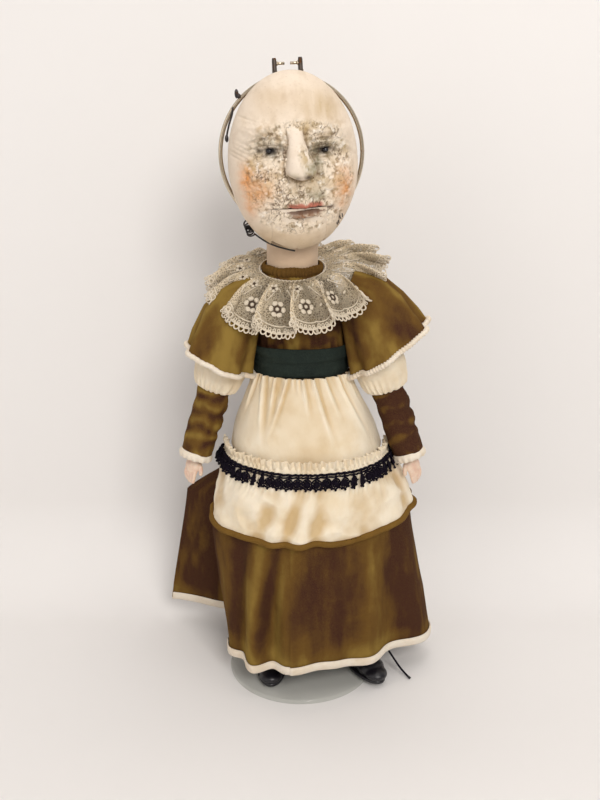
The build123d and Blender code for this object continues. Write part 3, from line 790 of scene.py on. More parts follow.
def make_nose():
    v, u = lattice(70, 60, -1, 1, closed=False)
    z = 98.5 - 49.0 * v
    half = 6.6 + 6.6 * smooth(0.20, 0.9, v) + 0.6 * lumps(z, z * 0, 9, 2, 69)
    half = half * np.sqrt(np.clip(1 - (np.abs(v - 0.5) / 0.5) ** 5, 0, 1)) + 0.05
    out = 3.0 + 8.5 * v + 9.5 * smooth(0.35, 0.85, v)
    out = out * np.sqrt(np.clip(1 - ((v - 0.86) / 0.14).clip(0, 1) ** 2, 0.0, 1)) * smooth(-0.02, 0.12, v)
    round_over = np.cos(u * math.pi / 2) ** (0.62 + 0.25 * v)
    x = nose_line(z) + half * np.sin(u * math.pi / 2) * (1 + 0.12 * bell(v - 0.86, 0.10))
    wing = 2.2 * bell(v - 0.88, 0.09) * bell(np.abs(u) - 0.62, 0.22)
    deep = mask_depth(x, z)
    crumpled = smooth(-5, 4, x + 0.25 * (z - 66) - 2) * smooth(0.30, 0.60, v)
    y = (deep + 2.5 - (out * round_over + wing) - 0.25 * lumps(x, z, 6, 3, 61)
         - 1.5 * crumpled * lumps(x, z, 3.6, 3, 74))
    nostril = (bell(np.hypot((x - 6.5) / 1.5, (v - 0.93) * 48), 2.2)
               + 0.6 * bell(np.hypot((x + 3.0) / 1.3, (v - 0.95) * 48), 1.7))
    y = y + 2.0 * nostril
    tint = np.stack([np.full(x.shape, c) for c in (0.82, 0.71, 0.585)], -1)
    for color, amount in (
        ((0.62, 0.52, 0.36), 0.6 * smooth(0.2, 0.9, lumps(x, z, 7, 3, 62)) * smooth(0.3, 0.8, v)),
        ((0.50, 0.37, 0.20), 0.90 * crumpled * smooth(-0.35, 0.3, lumps(x, z, 4, 3, 75))),
        ((0.18, 0.13, 0.07), 0.90 * crumpled * smooth(0.02, 0.45, lumps(x, z, 3, 3, 76))),
        ((0.27, 0.25, 0.16), 0.75 * bell(np.hypot((x - 11) / 1.3, (z - 60)), 6.5)),
        ((0.95, 0.88, 0.78), 0.7 * crumpled * smooth(0.2, 0.6, lumps(x, z, 2.6, 2, 77))),
        ((0.40, 0.33, 0.20), 0.5 * bell(np.hypot((x + 6), (z - 54)), 4.5)),
        ((0.07, 0.05, 0.04), 0.92 * nostril),
    ):
        a = np.clip(amount, 0, 1)[..., None]
        tint = tint * (1 - a) + np.array(color) * a
    nose = grid("nose_front", head(np.stack([x, y, z], -1)), LOOK["face"], tint=tint, thick=2.0)
    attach(nose, "head")
    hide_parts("nose")


def make_eyes():
    pile = Pile()
    for ex, ez in ((-25.0, 75.5), (25.0, 74.0)):
        deep = mask_depth(ex, ez)
        pile.ball(head((ex, deep + 5.0, ez)), (2.9, 2.4, 2.2), rows=16, cols=24)
    eyes = pile.build("eye_beads", LOOK["bead"])
    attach(eyes, "head")
    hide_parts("eyes")


def make_back_of_head():
    rows, cols = 110, 160
    lat, turn = np.meshgrid(np.linspace(-1.25, 1.55, rows), np.linspace(-math.pi / 2, math.pi / 2, cols),
                            indexing="ij")
    n = np.stack([np.cos(lat) * np.sin(turn), np.cos(lat) * np.cos(turn), np.sin(lat)], -1)
    bumps = 0.9 * lumps(turn * 50, lat * 60, 24, 3, 71) - 1.1 * bell(turn, 0.012)
    points = np.array([0, -21, 64]) + (np.array([54, 52, 68]) + bumps[..., None]) * n
    back = grid("head_back", head(points), LOOK["back"], thick=3.0)
    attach(back, "head")
    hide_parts("back_shell")


# The hoop's half width and half height, its plane and the height of its middle.
HOOP_WIDE, HOOP_TALL, HOOP_Y, HOOP_Z = 66, 69, -24.5, 68


def make_hoop():
    gap = math.radians(10.5)
    t = np.linspace(math.pi / 2 + gap, math.pi / 2 + TAU - gap, 260)
    ring = np.stack([HOOP_WIDE * np.cos(t), HOOP_Y + 0.5 * np.sin(3 * t), HOOP_Z + HOOP_TALL * np.sin(t)], -1)
    ends = [ring[0] + (0, 0, 6), ring[0] + (0.3, 0, 2.5)], [ring[-1] + (-0.3, 0, 2.5), ring[-1] + (0, 0, 6)]
    path = np.concatenate([ends[0], ring, ends[1]])
    hoop = Pile().tube(head(path), 2.0, 14).build("wire_hoop", LOOK["nickel"])
    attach(hoop, "head")
    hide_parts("hoop")
    lugs, studs = Pile(), Pile()
    for s in (-1, 1):
        base = np.array([s * 11.8 - 0.6, HOOP_Y, 138.5])
        outline = [(-3.2, 0), (3.2, 0), (3.0, 7), (2.4, 11), (1.2, 13.6), (-1.2, 13.6), (-2.4, 11), (-3.0, 7)]
        loop = spline([(0, y, z) for y, z in outline], 40, closed=True)
        verts = []
        for x, size in ((-1.9, 0.82), (-1.5, 1.0), (1.5, 1.0), (1.9, 0.82)):
            verts.append(base + (loop - (0, 0, 6.5)) * (1, size, size) + (x * s, 0, 6.5))
        faces = grid_faces(4, 40, wrap=True) + [tuple(range(40))[::-1], tuple(range(120, 160))]
        lugs.add((head(np.concatenate(verts)), faces))
        studs.tube(head([base + (-s * 1.0, 0, 9), base + (-s * 9.2, 0, 9)]), 1.35, 14)
        studs.tube(head([base + (-s * 1.8, 0, 9), base + (-s * 2.9, 0, 9)]), 2.1, 14)
    obj = lugs.build("lug_plates", LOOK["rusty"])
    studs = studs.build("lug_studs", LOOK["nickel"])
    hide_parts("hoop_lugs")
    for piece, slot in ((obj, "nickel_wire"), (studs, "nickel_wire")):
        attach(piece, "head")


def hoop_spot(degrees, out, y):
    """A place on the hoop, or out from it by some millimetres."""
    t = math.radians(degrees)
    return np.array([(HOOP_WIDE + out) * math.cos(t), y, HOOP_Z + (HOOP_TALL + out) * math.sin(t)])


def make_tie_wires():
    pile = Pile()
    clip = [hoop_spot(132, r, -25) for r in (0.5, 2.5, 5.5)]
    pile.tube(head(clip), [1.1, 2.2, 1.7], 10)
    pile.ball(head(clip[-1]), (1.9, 1.2, 4.2), HEAD_AXES)
    hook = [hoop_spot(a, r, -27) for a, r in ((141, 1.0), (146, -1.8), (153, -3.0), (160, -3.8), (164, -4.2))]
    pile.tube(head(spline(hook, 30)), 0.9, 8).ball(head(hook[-1] + (0, 0, -1)), (1.8, 1.6, 3.4), HEAD_AXES)
    t = np.linspace(0, 5 * TAU, 150)
    knot = np.stack([-46 + 3.2 * np.cos(t) + 3.2 * t / 31, -31 + 2.6 * np.sin(t * 1.3),
                     8 - 11 * t / 31 + 2.4 * np.sin(t)], -1)
    pile.tube(head(knot), 0.75, 7)
    rim = [(-40, -33, -2), (-31, -35, -9), (-21, -37, -14.2), (-10, -38, -18), (-3, -41, -19.4)]
    pile.tube(head(spline(rim, 60)), 0.8, 8)
    wires = pile.build("binding_wires", LOOK["iron"])
    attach(wires, "head")
    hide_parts("tie_wires")
    loops = Pile()
    for cx, cz, size in ((40.0, 12.5, 2.6), (37.0, 6.5, 1.9)):
        a = np.linspace(-0.6, 4.6, 36)
        deep = mask_depth(cx, cz)
        ring = np.stack([cx + 0.5 * size * np.cos(a), deep - 0.9 + 0.8 * np.sin(a), cz + size * np.sin(a)],
                        -1)
        loops.tube(head(ring), 0.5, 7)
    loops = loops.build("cheek_wires", LOOK["iron"])
    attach(loops, "head")


# ---------------------------------------------------------------- neck and collar
def make_neck():
    v, a = lattice(40, 96)
    r = 25 - 4 * smooth(0.86, 1.0, v) ** 2 * 1.2 + 0.35 * lumps(a * 25, v * 40, 9, 3, 81)
    points = np.stack([NECK_X + r * np.cos(a), NECK_Y + r * np.sin(a), 441 + 35 * v], -1)
    neck = grid("neck_cover", points, LOOK["neck"], wrap=True, thick=1.0)
    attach(neck, "stick")
    v, a = lattice(26, 420)
    gather = np.sin(46 * a + 2 * np.sin(5 * a)) * (0.5 + 0.5 * v) * 0.9
    r = 27.6 + 2.6 * np.sin(v * math.pi) ** 0.7 + gather
    points = np.stack([NECK_X + r * np.cos(a), NECK_Y + r * np.sin(a),
                       439.5 + 10.0 * v + 0.5 * np.sin(7 * a)], -1)
    band = grid("gathered_neckband", points, LOOK["velvet"], wrap=True, thick=1.0)
    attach(band, "torso")
    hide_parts("neckband")


SCALLOPS = 15


def collar_point(u, v):
    """Lace collar: u goes once round from the back, v from the neckband to the scalloped edge."""
    a = math.pi / 2 + TAU * u
    ca, sa = np.cos(a), np.sin(a)
    lobe = np.abs(np.sin(math.pi * SCALLOPS * u)) ** 0.6
    inner = np.stack([NECK_X + 30.8 * ca, NECK_Y + 31.5 * sa, 443.0 + 6.5 * sa], -1)
    reach = 0.88 + 0.14 * lobe
    edge = np.stack([-4.5 + 86 * ca * reach, 2 + 60 * sa * reach,
                     428 + 11 * ca + 25 * sa + 9 * ca * ca - 2.0 * lobe], -1)
    w = v[..., None]
    p = inner + (edge - inner) * w
    lift = 8.0 * np.sin(math.pi * v ** 0.8) * (1 - 0.25 * sa)
    fan = (np.sin(TAU * SCALLOPS * 4 * u
                  + 1.3 * np.sin(TAU * 3 * u)) * 1.5 * smooth(0, 0.12, v) * smooth(0.75, 0.2, v))
    roll = TAU * SCALLOPS * u
    flute = -8.0 * np.cos(roll) * smooth(0.05, 0.8, v)
    sway = 9.5 * np.sin(roll + 0.5) * smooth(0.15, 0.95, v)
    p[..., 2] += lift + fan * 0.9 + flute
    p[..., 0] += fan * 0.35 * ca - sway * sa
    p[..., 1] += fan * 0.35 * sa + sway * ca
    return p


def collar_frame(u, v):
    p = collar_point(np.array([u]), np.array([v]))[0]
    du = collar_point(np.array([u + 0.002]), np.array([v]))[0] - p
    dv = (collar_point(np.array([u]), np.array([min(1.0, v + 0.02)]))[0]
          - collar_point(np.array([u]), np.array([v - 0.02]))[0])
    du, dv = du / np.linalg.norm(du), dv / np.linalg.norm(dv)
    up = np.cross(du, dv)
    up = up if up[2] > 0 else -up
    up /= np.linalg.norm(up)
    return p, np.stack([du, np.cross(up, du), up], 1)


def make_collar():
    v, u = lattice(46, 1100, 0, 1)
    # fold is painted light for the net: painted shade in the ruffle's valleys, painted highlight on its
    # crests.
    fold = 0.78 - 0.34 * np.cos(TAU * SCALLOPS * u) * smooth(0.05, 0.5, v)
    net = grid("collar_net", collar_point(u, v), LOOK["net"], wrap=True, thick=0.25,
               tint=np.repeat(fold[..., None], 3, -1))
    work, eyelets = Pile(), Pile()
    rng = random.Random(4)
    for i in range(SCALLOPS):
        middle = (i + 0.5) / SCALLOPS
        p, m = collar_frame(middle + 0.40 / SCALLOPS, 0.66)
        ring = [p + m @ np.array([2.9 * math.cos(t), 2.9 * math.sin(t), 1.6]) for t in around(20)]
        eyelets.tube(ring, 0.85, 7, closed=True)
        work.ball(p + m[:, 2] * 1.2, (2.0, 2.0, 0.8), m)
        for k in range(6):
            t = TAU * k / 6 + rng.random() * 0.2
            q = p + m @ np.array([5.9 * math.cos(t), 5.9 * math.sin(t), 1.1])
            spin = frame_of(m[:, 2], m @ np.array([math.cos(t), math.sin(t), 0]))
            work.ball(q, (2.9, 2.4, 1.0), spin)
        q, mq = collar_frame(middle + 0.22 / SCALLOPS, 0.40)
        eyelets.ball(q + mq[:, 2] * 0.9, (1.5, 1.5, 0.7), mq)
        for t in np.linspace(0, TAU, 6)[:5]:
            work.ball(q + mq @ np.array([3.3 * math.cos(t), 3.3 * math.sin(t), 0.9]), (1.7, 1.7, 0.8), mq)
        for side in (-1, 1):
            for k, (du, v0, size) in enumerate(((0.34, 0.66, 1.9), (0.20, 0.36, 1.6))):
                q, mq = collar_frame(middle + side * du / SCALLOPS, v0 + 0.03 * rng.random())
                work.ball(q + mq[:, 2] * 0.7, (size, size * 0.6, 0.7), mq)
            vine = []
            for s in np.linspace(0, 1, 14):
                q, mq = collar_frame(middle + side * (0.10 + 0.30 * s) / SCALLOPS,
                                     0.50 + 0.16 * math.sin(s * 5.5))
                vine.append(q + mq[:, 2] * 0.6)
            work.tube(vine, 0.5, 6)
    for level, size in ((1.0, 0.9), (0.90, 0.6), (0.03, 0.9)):
        count = 900
        line = collar_point(np.linspace(0, 1, count, endpoint=False), np.full(count, level))
        work.tube(line + (0, 0, 0.3), size, 6, closed=True)
    turns = np.linspace(0, 1, 4000)
    edge = collar_point(turns, np.ones(4000))
    length = np.concatenate([[0], np.cumsum(np.linalg.norm(np.diff(edge, axis=0), axis=1))])
    count = int(length[-1] / 5.0)
    for u in np.interp((np.arange(count) + 0.5) * length[-1] / count, length, turns):
        p, m = collar_frame(u, 1.0)
        for wide, tall, drop, size in ((2.5, 3.2, 1.2, 0.75), (1.2, 1.5, -3.2, 0.5)):
            ring = [p + m @ np.array([wide * math.cos(t), -drop + tall * math.sin(t), 0.0])
                    for t in around(12)]
            work.tube(ring, size, 6, closed=True)
    work = work.build("collar_embroidery", LOOK["ecru thread"])
    eyelets = eyelets.build("flower_eyelets", LOOK["brown thread"])
    for piece in (net, work, eyelets):
        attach(piece, "torso")
    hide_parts("lace_collar")


# ---------------------------------------------------------------- bodice and sash
def trunk_ring(z, a, grow=0.0):
    table = np.array([
        (343, 44.5, 35.0, 0, 3), (355, 44.6, 34.6, 0, 3), (372, 44.4, 34.8, 0, 3), (395, 44.0, 34.8, -1, 4),
        (415, 42.5, 33.5, -3, 5), (428, 39.0, 31.0, -5, 7), (437, 33.0, 29.0, -7.5, 9),
        (441, 29.5, 28.0, -8.5, 10),
    ], float)
    cols = [np.interp(z, table[:, 0], table[:, k]) for k in range(1, 5)]
    return cols[2] + (cols[0] + grow) * np.cos(a), cols[3] + (cols[1] + grow) * np.sin(a)


def make_bodice():
    v, u = lattice(110, 300, 0, 1, closed=False)
    z = 343 + 98 * v
    slit = 0.26 * smooth(0.26, 0.34, v) * smooth(0.95, 0.80, v)
    a = math.pi / 2 + slit + (TAU - 2 * slit) * u
    pucker = 0.9 * np.sin(26 * a) * smooth(0.40, 0.30, v) + 0.8 * lumps(a * 40, z, 16, 3, 91)
    dart = (-1.1 * (bell(a - (math.pi * 1.5 - 0.42), 0.02)
                    + bell(a - (math.pi * 1.5 + 0.42), 0.02)) * smooth(0.75, 0.6, v))
    seam = -1.0 * (bell(a - math.pi, 0.02) + bell(a - TAU, 0.02))
    x, y = trunk_ring(z, a, pucker + dart + seam)
    shade = 0.38 + 0.9 * lumps(a * 40, z, 20, 3, 92)
    bodice = grid("velvet_bodice", np.stack([x, y, z], -1), LOOK["velvet with painted shade"], thick=1.4,
                  tint=pile_tone_and_shade(shade))
    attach(bodice, "torso")
    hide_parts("bodice")
    buttons = Pile()
    for height in (375.0, 434.0):
        x, y = trunk_ring(height, np.array([math.pi / 2]), 1.6)
        buttons.ball((x[0], y[0], height), (3.2, 1.5, 3.2), rows=12, cols=18)
    hooks = buttons.build("back_buttons", LOOK["brass"])
    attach(hooks, "torso")


def make_sash():
    v, a = lattice(50, 360)
    z = 343.6 + 29.2 * v + 0.5 * np.sin(3 * a)
    creases = 0.6 * np.sin(14 * v + 1.3 * np.sin(3 * a) + a) + 1.3 * lumps(a * 20, z, 9, 3, 93)
    fold = 1.4 * smooth(0.50, 0.54, v + 0.03 * np.sin(2 * a))
    x, y = trunk_ring(np.full(z.shape, 358.0), a, 3.4 + creases + fold)
    sash = grid("velvet_sash", np.stack([x, y, z], -1), LOOK["ribbon"], wrap=True, thick=1.2)
    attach(sash, "torso")
    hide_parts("sash")


# ---------------------------------------------------------------- skirt, apron and flounce
HEM = [(-11, -72), (30, -67), (64, -52), (104, -28), (139, -2), (131, 36), (90, 66), (30, 86), (-40, 93),
       (-110, 97),
       (-152, 80), (-110, 66), (-67, 49), (-50, 28), (-60, 3), (-78, -14), (-72, -42), (-45, -62)]
MIDDLE = [(-10, -76), (28, -73), (60, -62), (92, -40), (116, -4), (110, 34), (80, 60), (28, 78), (-40, 84),
          (-96, 84),
          (-127, 66), (-104, 50), (-80, 36), (-74, 20), (-84, 2), (-91, -20), (-72, -46), (-42, -66)]
SKIRT_DROP = 307.0
# Where the flounce's seam lies, and how far it reaches to each side as a share of the skirt's round.
FLOUNCE_TOP, FLOUNCE_SPAN = 264, 0.268
HEM_CURVE, MIDDLE_CURVE = spline(HEM, 1440, closed=True), spline(MIDDLE, 1440, closed=True)


def smooth_line(start, end, t):
    """0 before start, 1 after end, straight between with slightly softened ends."""
    x = np.clip((t - start) / (end - start), 0, 1)
    return 0.75 * x + 0.25 * x * x * (3 - 2 * x)


def on_curve(curve, u):
    k = (u % 1.0) * len(curve)
    i = k.astype(int) % len(curve)
    f = (k - np.floor(k))[..., None]
    return curve[i] * (1 - f) + curve[(i + 1) % len(curve)] * f


def from_front(u):
    """Share of a turn from the middle of the front, -0.5 to 0.5."""
    return (u + 0.5) % 1.0 - 0.5


def skirt_point(u, z, out=0.0, folds=1.0):
    """A point of the skirt: u goes once round from the middle of the front towards the left side."""
    u, z = np.broadcast_arrays(np.asarray(u, float), np.asarray(z, float))
    a = -math.pi / 2 + TAU * u
    t = np.clip((WAIST_Z - z) / SKIRT_DROP, 0, 1)
    waist = np.stack([47.5 * np.cos(a), 3 + 38 * np.sin(a)], -1)
    hips = np.stack([6 + 78 * np.cos(a), 3 + 66 * np.sin(a)], -1)
    levels = [waist, hips, on_curve(MIDDLE_CURVE, u), on_curve(HEM_CURVE, u)]
    marks = [0.0, 0.30, 0.52, 1.0]
    xy = levels[0] * 0
    for k in range(4):
        rise = 1.0 if k == 0 else smooth_line(marks[k - 1], marks[k], t)
        fall = 1.0 if k == 3 else 1 - smooth_line(marks[k], marks[k + 1], t)
        xy = xy + levels[k] * np.asarray(rise * fall)[..., None]
    bulge = 0.5 * np.sin(math.pi * np.clip(t / 0.30, 0, 1))
    out = out + bulge
    away = np.stack([np.cos(a) / 1.25, np.sin(a)], -1)
    away /= np.linalg.norm(away, axis=-1)[..., None]
    wide = (0.55 * np.sin(TAU * 9 * u + 1.6 * np.sin(TAU * 2 * u))
            + 0.45 * np.sin(TAU * 14 * u + 2.2 * np.sin(TAU * u) + 1.5 * t))
    ripple = folds * (4.6 * smooth(0.1, 1.0, t) * wide + 1.8 * lumps(u * 700, z, 60, 3, 101))
    low = smooth(0.45, 0.85, t) * (1 - 0.45 * smooth(0.86, 1.0, t))
    near = from_front(u)
    ripple = ripple + folds * low * (
        8.0 * bell(near + 0.062, 0.017) - 6.0 * bell(near + 0.034 + 0.004 * np.sin(5 * t), 0.014)
        + 5.5 * bell(near + 0.012, 0.014) - 6.0 * bell(near + 0.088, 0.012) + 4.0 * bell(near - 0.115, 0.022))
    gathers = (1.3 * np.sin(TAU * 52 * u
                            + 3 * np.sin(TAU * 4 * u)) * smooth(0.35, 0.0, t) * max(0.0, 2 * folds - 1))
    xy = xy + away * (ripple + gathers + out)[..., None]
    return np.concatenate([xy, z[..., None]], -1)


def hem_height(u):
    return 35.0 + 2.2 * np.sin(TAU * 2 * u + 1) + 1.2 * np.sin(TAU * 7 * u)


def pile_tone_and_shade(amount):
    """A grey vertex tint for the velvet: above 0.5 the pile goes gold, below it goes dark. It carries painted
    highlight and painted shade on the skirt, sleeves and capes, and random tone on the bodice.
    """
    return np.repeat(np.clip(amount, 0.0, 1.0)[..., None], 3, -1)


def make_skirt():
    v, u = lattice(150, 620, 0, 1)
    z = WAIST_Z + (hem_height(u) - WAIST_Z) * v
    near = from_front(u)
    drift = near + 0.012 * np.sin(z / 45) + 0.006 * lumps(u * 300, z, 30, 2, 106)
    # shade is painted light: painted highlight along the fold crests, painted shade in the valleys and at the
    # sides; it is also lighter near the hem.
    shade = (0.47 + 0.20 * bell(drift + 0.062, 0.026) + 0.18 * bell(drift + 0.008, 0.018)
             - 0.30 * bell(drift + 0.034, 0.012))
    shade = (shade - 0.26 * bell(drift + 0.095, 0.018) + 0.12 * bell(near - 0.125, 0.02)
             - 0.12 * bell(near - 0.06, 0.05))
    shade = shade - 0.16 * smooth(0.11, 0.20, np.abs(near)) + 0.20 * bell(z - 46, 14)
    shade = shade + 0.14 * lumps(u * 900, z * 0.25, 16, 3, 105) * (1 + 1.5 * smooth(0.1, 0.2, np.abs(near)))
    skirt = grid("velvet_skirt", skirt_point(u, z), LOOK["velvet with painted shade"], wrap=True, thick=1.2,
                 tint=pile_tone_and_shade(shade))
    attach(skirt, "torso")
    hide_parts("skirt")
    u = np.linspace(0, 1, 900, endpoint=False)
    rings = []
    for dz, out in ((7.5, 1.0), (7.8, 1.9), (4, 2.4), (-0.6, 2.2), (-2.2, 0.8), (-2.2, -1.0), (-0.6, -2.2),
                    (4, -2.4), (7.5, -2.0)):
        line = skirt_point(u, hem_height(u) + np.maximum(dz, 0), out)
        line[:, 2] = hem_height(u) + dz
        rings.append(line)
    binding = grid("hem_binding", np.array(rings), LOOK["binding"], wrap=True)
    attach(binding, "torso")
    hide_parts("skirt_hem")


def apron_span(z):
    """How far round the apron reaches at a height, as a share of the skirt's round."""
    return 0.205 + 0.055 * smooth(WAIST_Z, 262, z)


def flounce_drop(u):
    return 186 + 12 * smooth(0.05, 0.27, np.abs(u)) + 0.8 * np.sin(TAU * 9 * u)


def flounce_waves(u, v):
    """How far the flounce's puckers stand out."""
    z = FLOUNCE_TOP + (flounce_drop(u) - FLOUNCE_TOP) * v
    waves = (2.3 * np.sin(TAU * 15 * u + 2.5 * np.sin(TAU * 4 * u)) * smooth(0.1, 0.7, v)
             + 2.2 * lumps(u * 700, z, 22, 3, 141))
    waves = waves - 3.4 * np.abs(lumps(u * 620 + 0.5 * z, z, 30, 2, 143)) * smooth(0.12, 0.4, v)
    tight = 0.8 * np.sin(TAU * 88 * u + 3 * np.sin(TAU * 11 * u)) * smooth(0.5, 0.1, v)
    return waves + tight


def flounce_point(u, v, out=0.0):
    """v 0 at the gathered seam under the black lace, 1 at the piped edge."""
    z = FLOUNCE_TOP + (flounce_drop(u) - FLOUNCE_TOP) * v
    puff = 6.5 + 6.0 * np.sin(math.pi * np.clip(v, 0, 1) ** 0.8)
    return skirt_point(u, z, out + puff + flounce_waves(u, v), 0.6)


def fold_shade_and_yellowing(rise):
    """The cloth's tint: painted shade with yellowing, darker and yellower at the bottom of a fold, where rise
    is below 0.
    """
    share = np.clip(0.5 + rise / 4.0, 0, 1)[..., None]
    return (1 - share) * np.array((0.74, 0.62, 0.44)) + share * np.array((1.0, 1.0, 1.0))


def make_apron():
    v, w = lattice(110, 520, -1, 1, closed=False)
    z = WAIST_Z + 1 + (263 - WAIST_Z) * v
    u = w * apron_span(z)
    fine = 0.9 * np.sin(TAU * 40 * u + 5 * np.sin(TAU * 6 * u)) * smooth(0.22, 0.0, v)
    for where, deep, wide, slant, fade in (
            (-0.13, 2.6, 0.007, 0.030, 0.95), (-0.085, 3.0, 0.006, -0.012, 0.60),
            (-0.045, 2.0, 0.005, -0.060, 0.85),
            (0.005, 2.8, 0.006, 0.016, 0.55), (0.038, 3.0, 0.006, 0.030, 0.95),
            (0.075, 2.4, 0.006, 0.040, 0.60),
            (0.12, 2.8, 0.007, 0.050, 0.90), (0.165, 2.2, 0.007, 0.040, 0.50),
            (-0.17, 2.2, 0.007, -0.030, 0.60)):
        fold = u - where - slant * v
        fine = fine + deep * smooth(fade, 0.0, v) * (bell(fold, wide) - 0.8 * bell(fold - 1.7 * wide, wide))
    fine = np.maximum(fine + 1.5 * lumps(u * 420, z, 38, 3, 142), -1.7)
    points = skirt_point(u, z, 3.0 + fine + 2.2 * np.sin(math.pi * v) ** 0.8, 0.5)
    # The apron's tint is painted shade in the bottoms of its folds, with yellowing.
    apron = grid("apron_panel", points, LOOK["cream with painted fold shade"], thick=0.5, tint=fold_shade_and_yellowing(fine * 1.4 + 0.9))
    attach(apron, "torso")
    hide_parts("apron")
    v, w = lattice(90, 900, -1, 1, closed=False)
    rise = flounce_waves(w * FLOUNCE_SPAN, v)
    # The flounce's tint is painted shade in the hollows of its puckers, with yellowing.
    tint = fold_shade_and_yellowing(rise * 1.3 + 2.4)
    flounce = grid("apron_flounce", flounce_point(w * FLOUNCE_SPAN, v), LOOK["cream with painted fold shade"], thick=0.5,
                   tint=tint)
    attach(flounce, "torso")
    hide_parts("flounce")
    v, w = lattice(18, 1400, -1, 1, closed=False)
    u = w * 0.266
    crimp = 1.9 * np.sin(TAU * 78 * u + 2 * np.sin(TAU * 9 * u)) * (0.25 + v)
    points = skirt_point(u, 260 + 8.5 * v + 0.7 * np.sin(TAU * 40 * u) * v, 7.6 + crimp + 2.4 * v, 0.6)
    heading = grid("heading_ruffle", points, LOOK["cream"], thick=0.5)
    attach(heading, "torso")
    w = np.linspace(-1, 1, 700)
    edge = flounce_point(w * FLOUNCE_SPAN, np.full(700, 1.0), 0.8)
    piping = Pile().tube(edge, 3.2, 12).build("flounce_piping", LOOK["piping"])
    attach(piping, "torso")
    stitches = Pile()
    for k in np.linspace(-0.262, 0.262, 70):
        a = flounce_point(np.array([k]), np.array([0.965]), 1.3)[0]
        b = flounce_point(np.array([k + 0.0035]), np.array([0.972]), 1.3)[0]
        stitches.tube([a, b], 0.4, 5)
    stitches = stitches.build("piping_stitches", LOOK["black thread"])
    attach(stitches, "torso")


def make_black_lace():
    pile = Pile()

    def spot(u, v, out=2.0):
        return flounce_point(np.array([u]), np.array([v]), out)[0]

    low, high, span = 0.275, 0.085, 0.262
    for v, size in ((high, 1.3), (high + 0.03, 0.9)):
        w = np.linspace(-span, span, 500)
        pile.tube(flounce_point(w, np.full(500, v), 1.9), size, 6)
    count, middle_v = 31, (low + high) / 2 + 0.012
    for i in range(count):
        u0 = (i + 0.5 - count / 2) / count * 2 * span
        centre = spot(u0, middle_v, 2.3)
        side = spot(u0 + 0.003, middle_v, 2.3) - centre
        side /= np.linalg.norm(side)
        up = spot(u0, middle_v - 0.02, 2.3) - centre
        up /= np.linalg.norm(up)
        for ring_r, size in ((5.0, 0.85), (3.1, 0.75)):
            ring = [centre + ring_r * (math.cos(t) * side + math.sin(t) * up) for t in around(18)]
            pile.tube(ring, size, 6, closed=True)
        for k in range(8):
            t = TAU * (k + 0.5) / 8
            ray = math.cos(t) * side + math.sin(t) * up
            pile.tube([centre + 1.0 * ray, centre + 5.2 * ray], 0.6, 5)
        for t in np.linspace(-2.4, -0.75, 3):
            pile.ball(centre + 6.2 * (math.cos(t) * side + math.sin(t) * up), (1.3, 1.3, 1.3))
        pile.tube([centre + 5.0 * up, centre + 9.5 * up], 0.9, 5)
        pile.ball(centre, (2.4, 2.4, 2.4))
        link = centre + 6.1 * side
        pile.tube([centre + 4.6 * side, centre + 7.6 * side], 0.8, 5)
        pile.ball(link, (1.3, 1.3, 1.3))
    lace = pile.build("crochet_band", LOOK["black thread"])
    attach(lace, "torso")
    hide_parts("black_lace")


# ---------------------------------------------------------------- arms
def arm_axes(side):
    s = SIDES[side]
    shoulder, elbow = SHOULDER * (s, 1, 1), ELBOW * (s, 1, 1)
    return shoulder, elbow, WRIST[side]


def tube_cloth(start, end, v, a, radius):
    """Points of a sleeve round the line from start to end. radius is an array like v."""
    m = frame_of(end - start)
    centre = start + (end - start) * v[..., None]
    return centre + radius[..., None] * (np.cos(a)[..., None] * m[:, 0] + np.sin(a)[..., None] * m[:, 1])


def make_puff(side):
    shoulder, elbow, _ = arm_axes(side)
    v, a = lattice(70, 240)
    along = 0.36 + 0.62 * v
    full = np.sin(math.pi * np.clip(0.10 + 0.90 * v ** 1.15, 0, 1)) ** 0.55
    gathers = (1.5 * np.sin(20 * a + 2 * np.sin(3 * a)) * smooth(0.55, 1.0, v)
               + 1.2 * lumps(a * 24, v * 60, 14, 3, 111))
    r = 15.5 + 11.0 * full * smooth(0.0, 0.5, v) + gathers
    r = r * (1 - 0.18 * smooth(0.94, 1.0, v))
    puff = grid(f"puff_cloth_{side}", tube_cloth(shoulder, elbow, along, a, r), LOOK["cream"], wrap=True,
                thick=0.5)
    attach(puff, f"upper_arm_{side}")
    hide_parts(f"puff_{side}")


def make_sleeve(side):
    _, elbow, wrist = arm_axes(side)
    v, a = lattice(90, 200)
    crumple = np.sin(v * 26 + 1.8 * np.sin(a + 1) + 3.4 * lumps(a * 12, v * 30, 12, 2, 121))
    wrinkle = 1.5 * crumple * smooth(1.0, 0.3, v) * (0.6 + 0.4 * np.sin(a + 2))
    r = 16.5 - 0.6 * v + wrinkle + 1.2 * lumps(a * 16, v * 60, 15, 3, 122)
    # shade is painted light: the right sleeve is painted lit and the left one shaded, and the crumples get
    # painted highlight and painted shade, over random tone.
    shade = (0.50 if side == "right" else 0.22) + 0.16 * crumple + 0.5 * lumps(a * 16, v * 60, 18, 3, 123)
    start = elbow + (elbow - wrist) * 0.06
    sleeve = grid(f"sleeve_cloth_{side}", tube_cloth(start, wrist, v, a, r), LOOK["velvet with painted shade"],
                  wrap=True, thick=1.0, tint=pile_tone_and_shade(shade))
    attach(sleeve, f"forearm_{side}")
    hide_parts(f"sleeve_{side}")
    v, a = lattice(22, 200)
    along = (wrist - elbow) / np.linalg.norm(wrist - elbow)
    flute = 0.9 * np.sin(14 * a + np.sin(3 * a)) * v
    r = 15.6 + 1.6 * np.sin(math.pi * v) + flute
    cuff = grid(f"cuff_cloth_{side}", tube_cloth(wrist - along * 2.5, wrist + along * 5.5, v, a, r),
                LOOK["binding"], wrap=True, thick=0.9)
    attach(cuff, f"forearm_{side}")
    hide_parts(f"cuff_{side}")


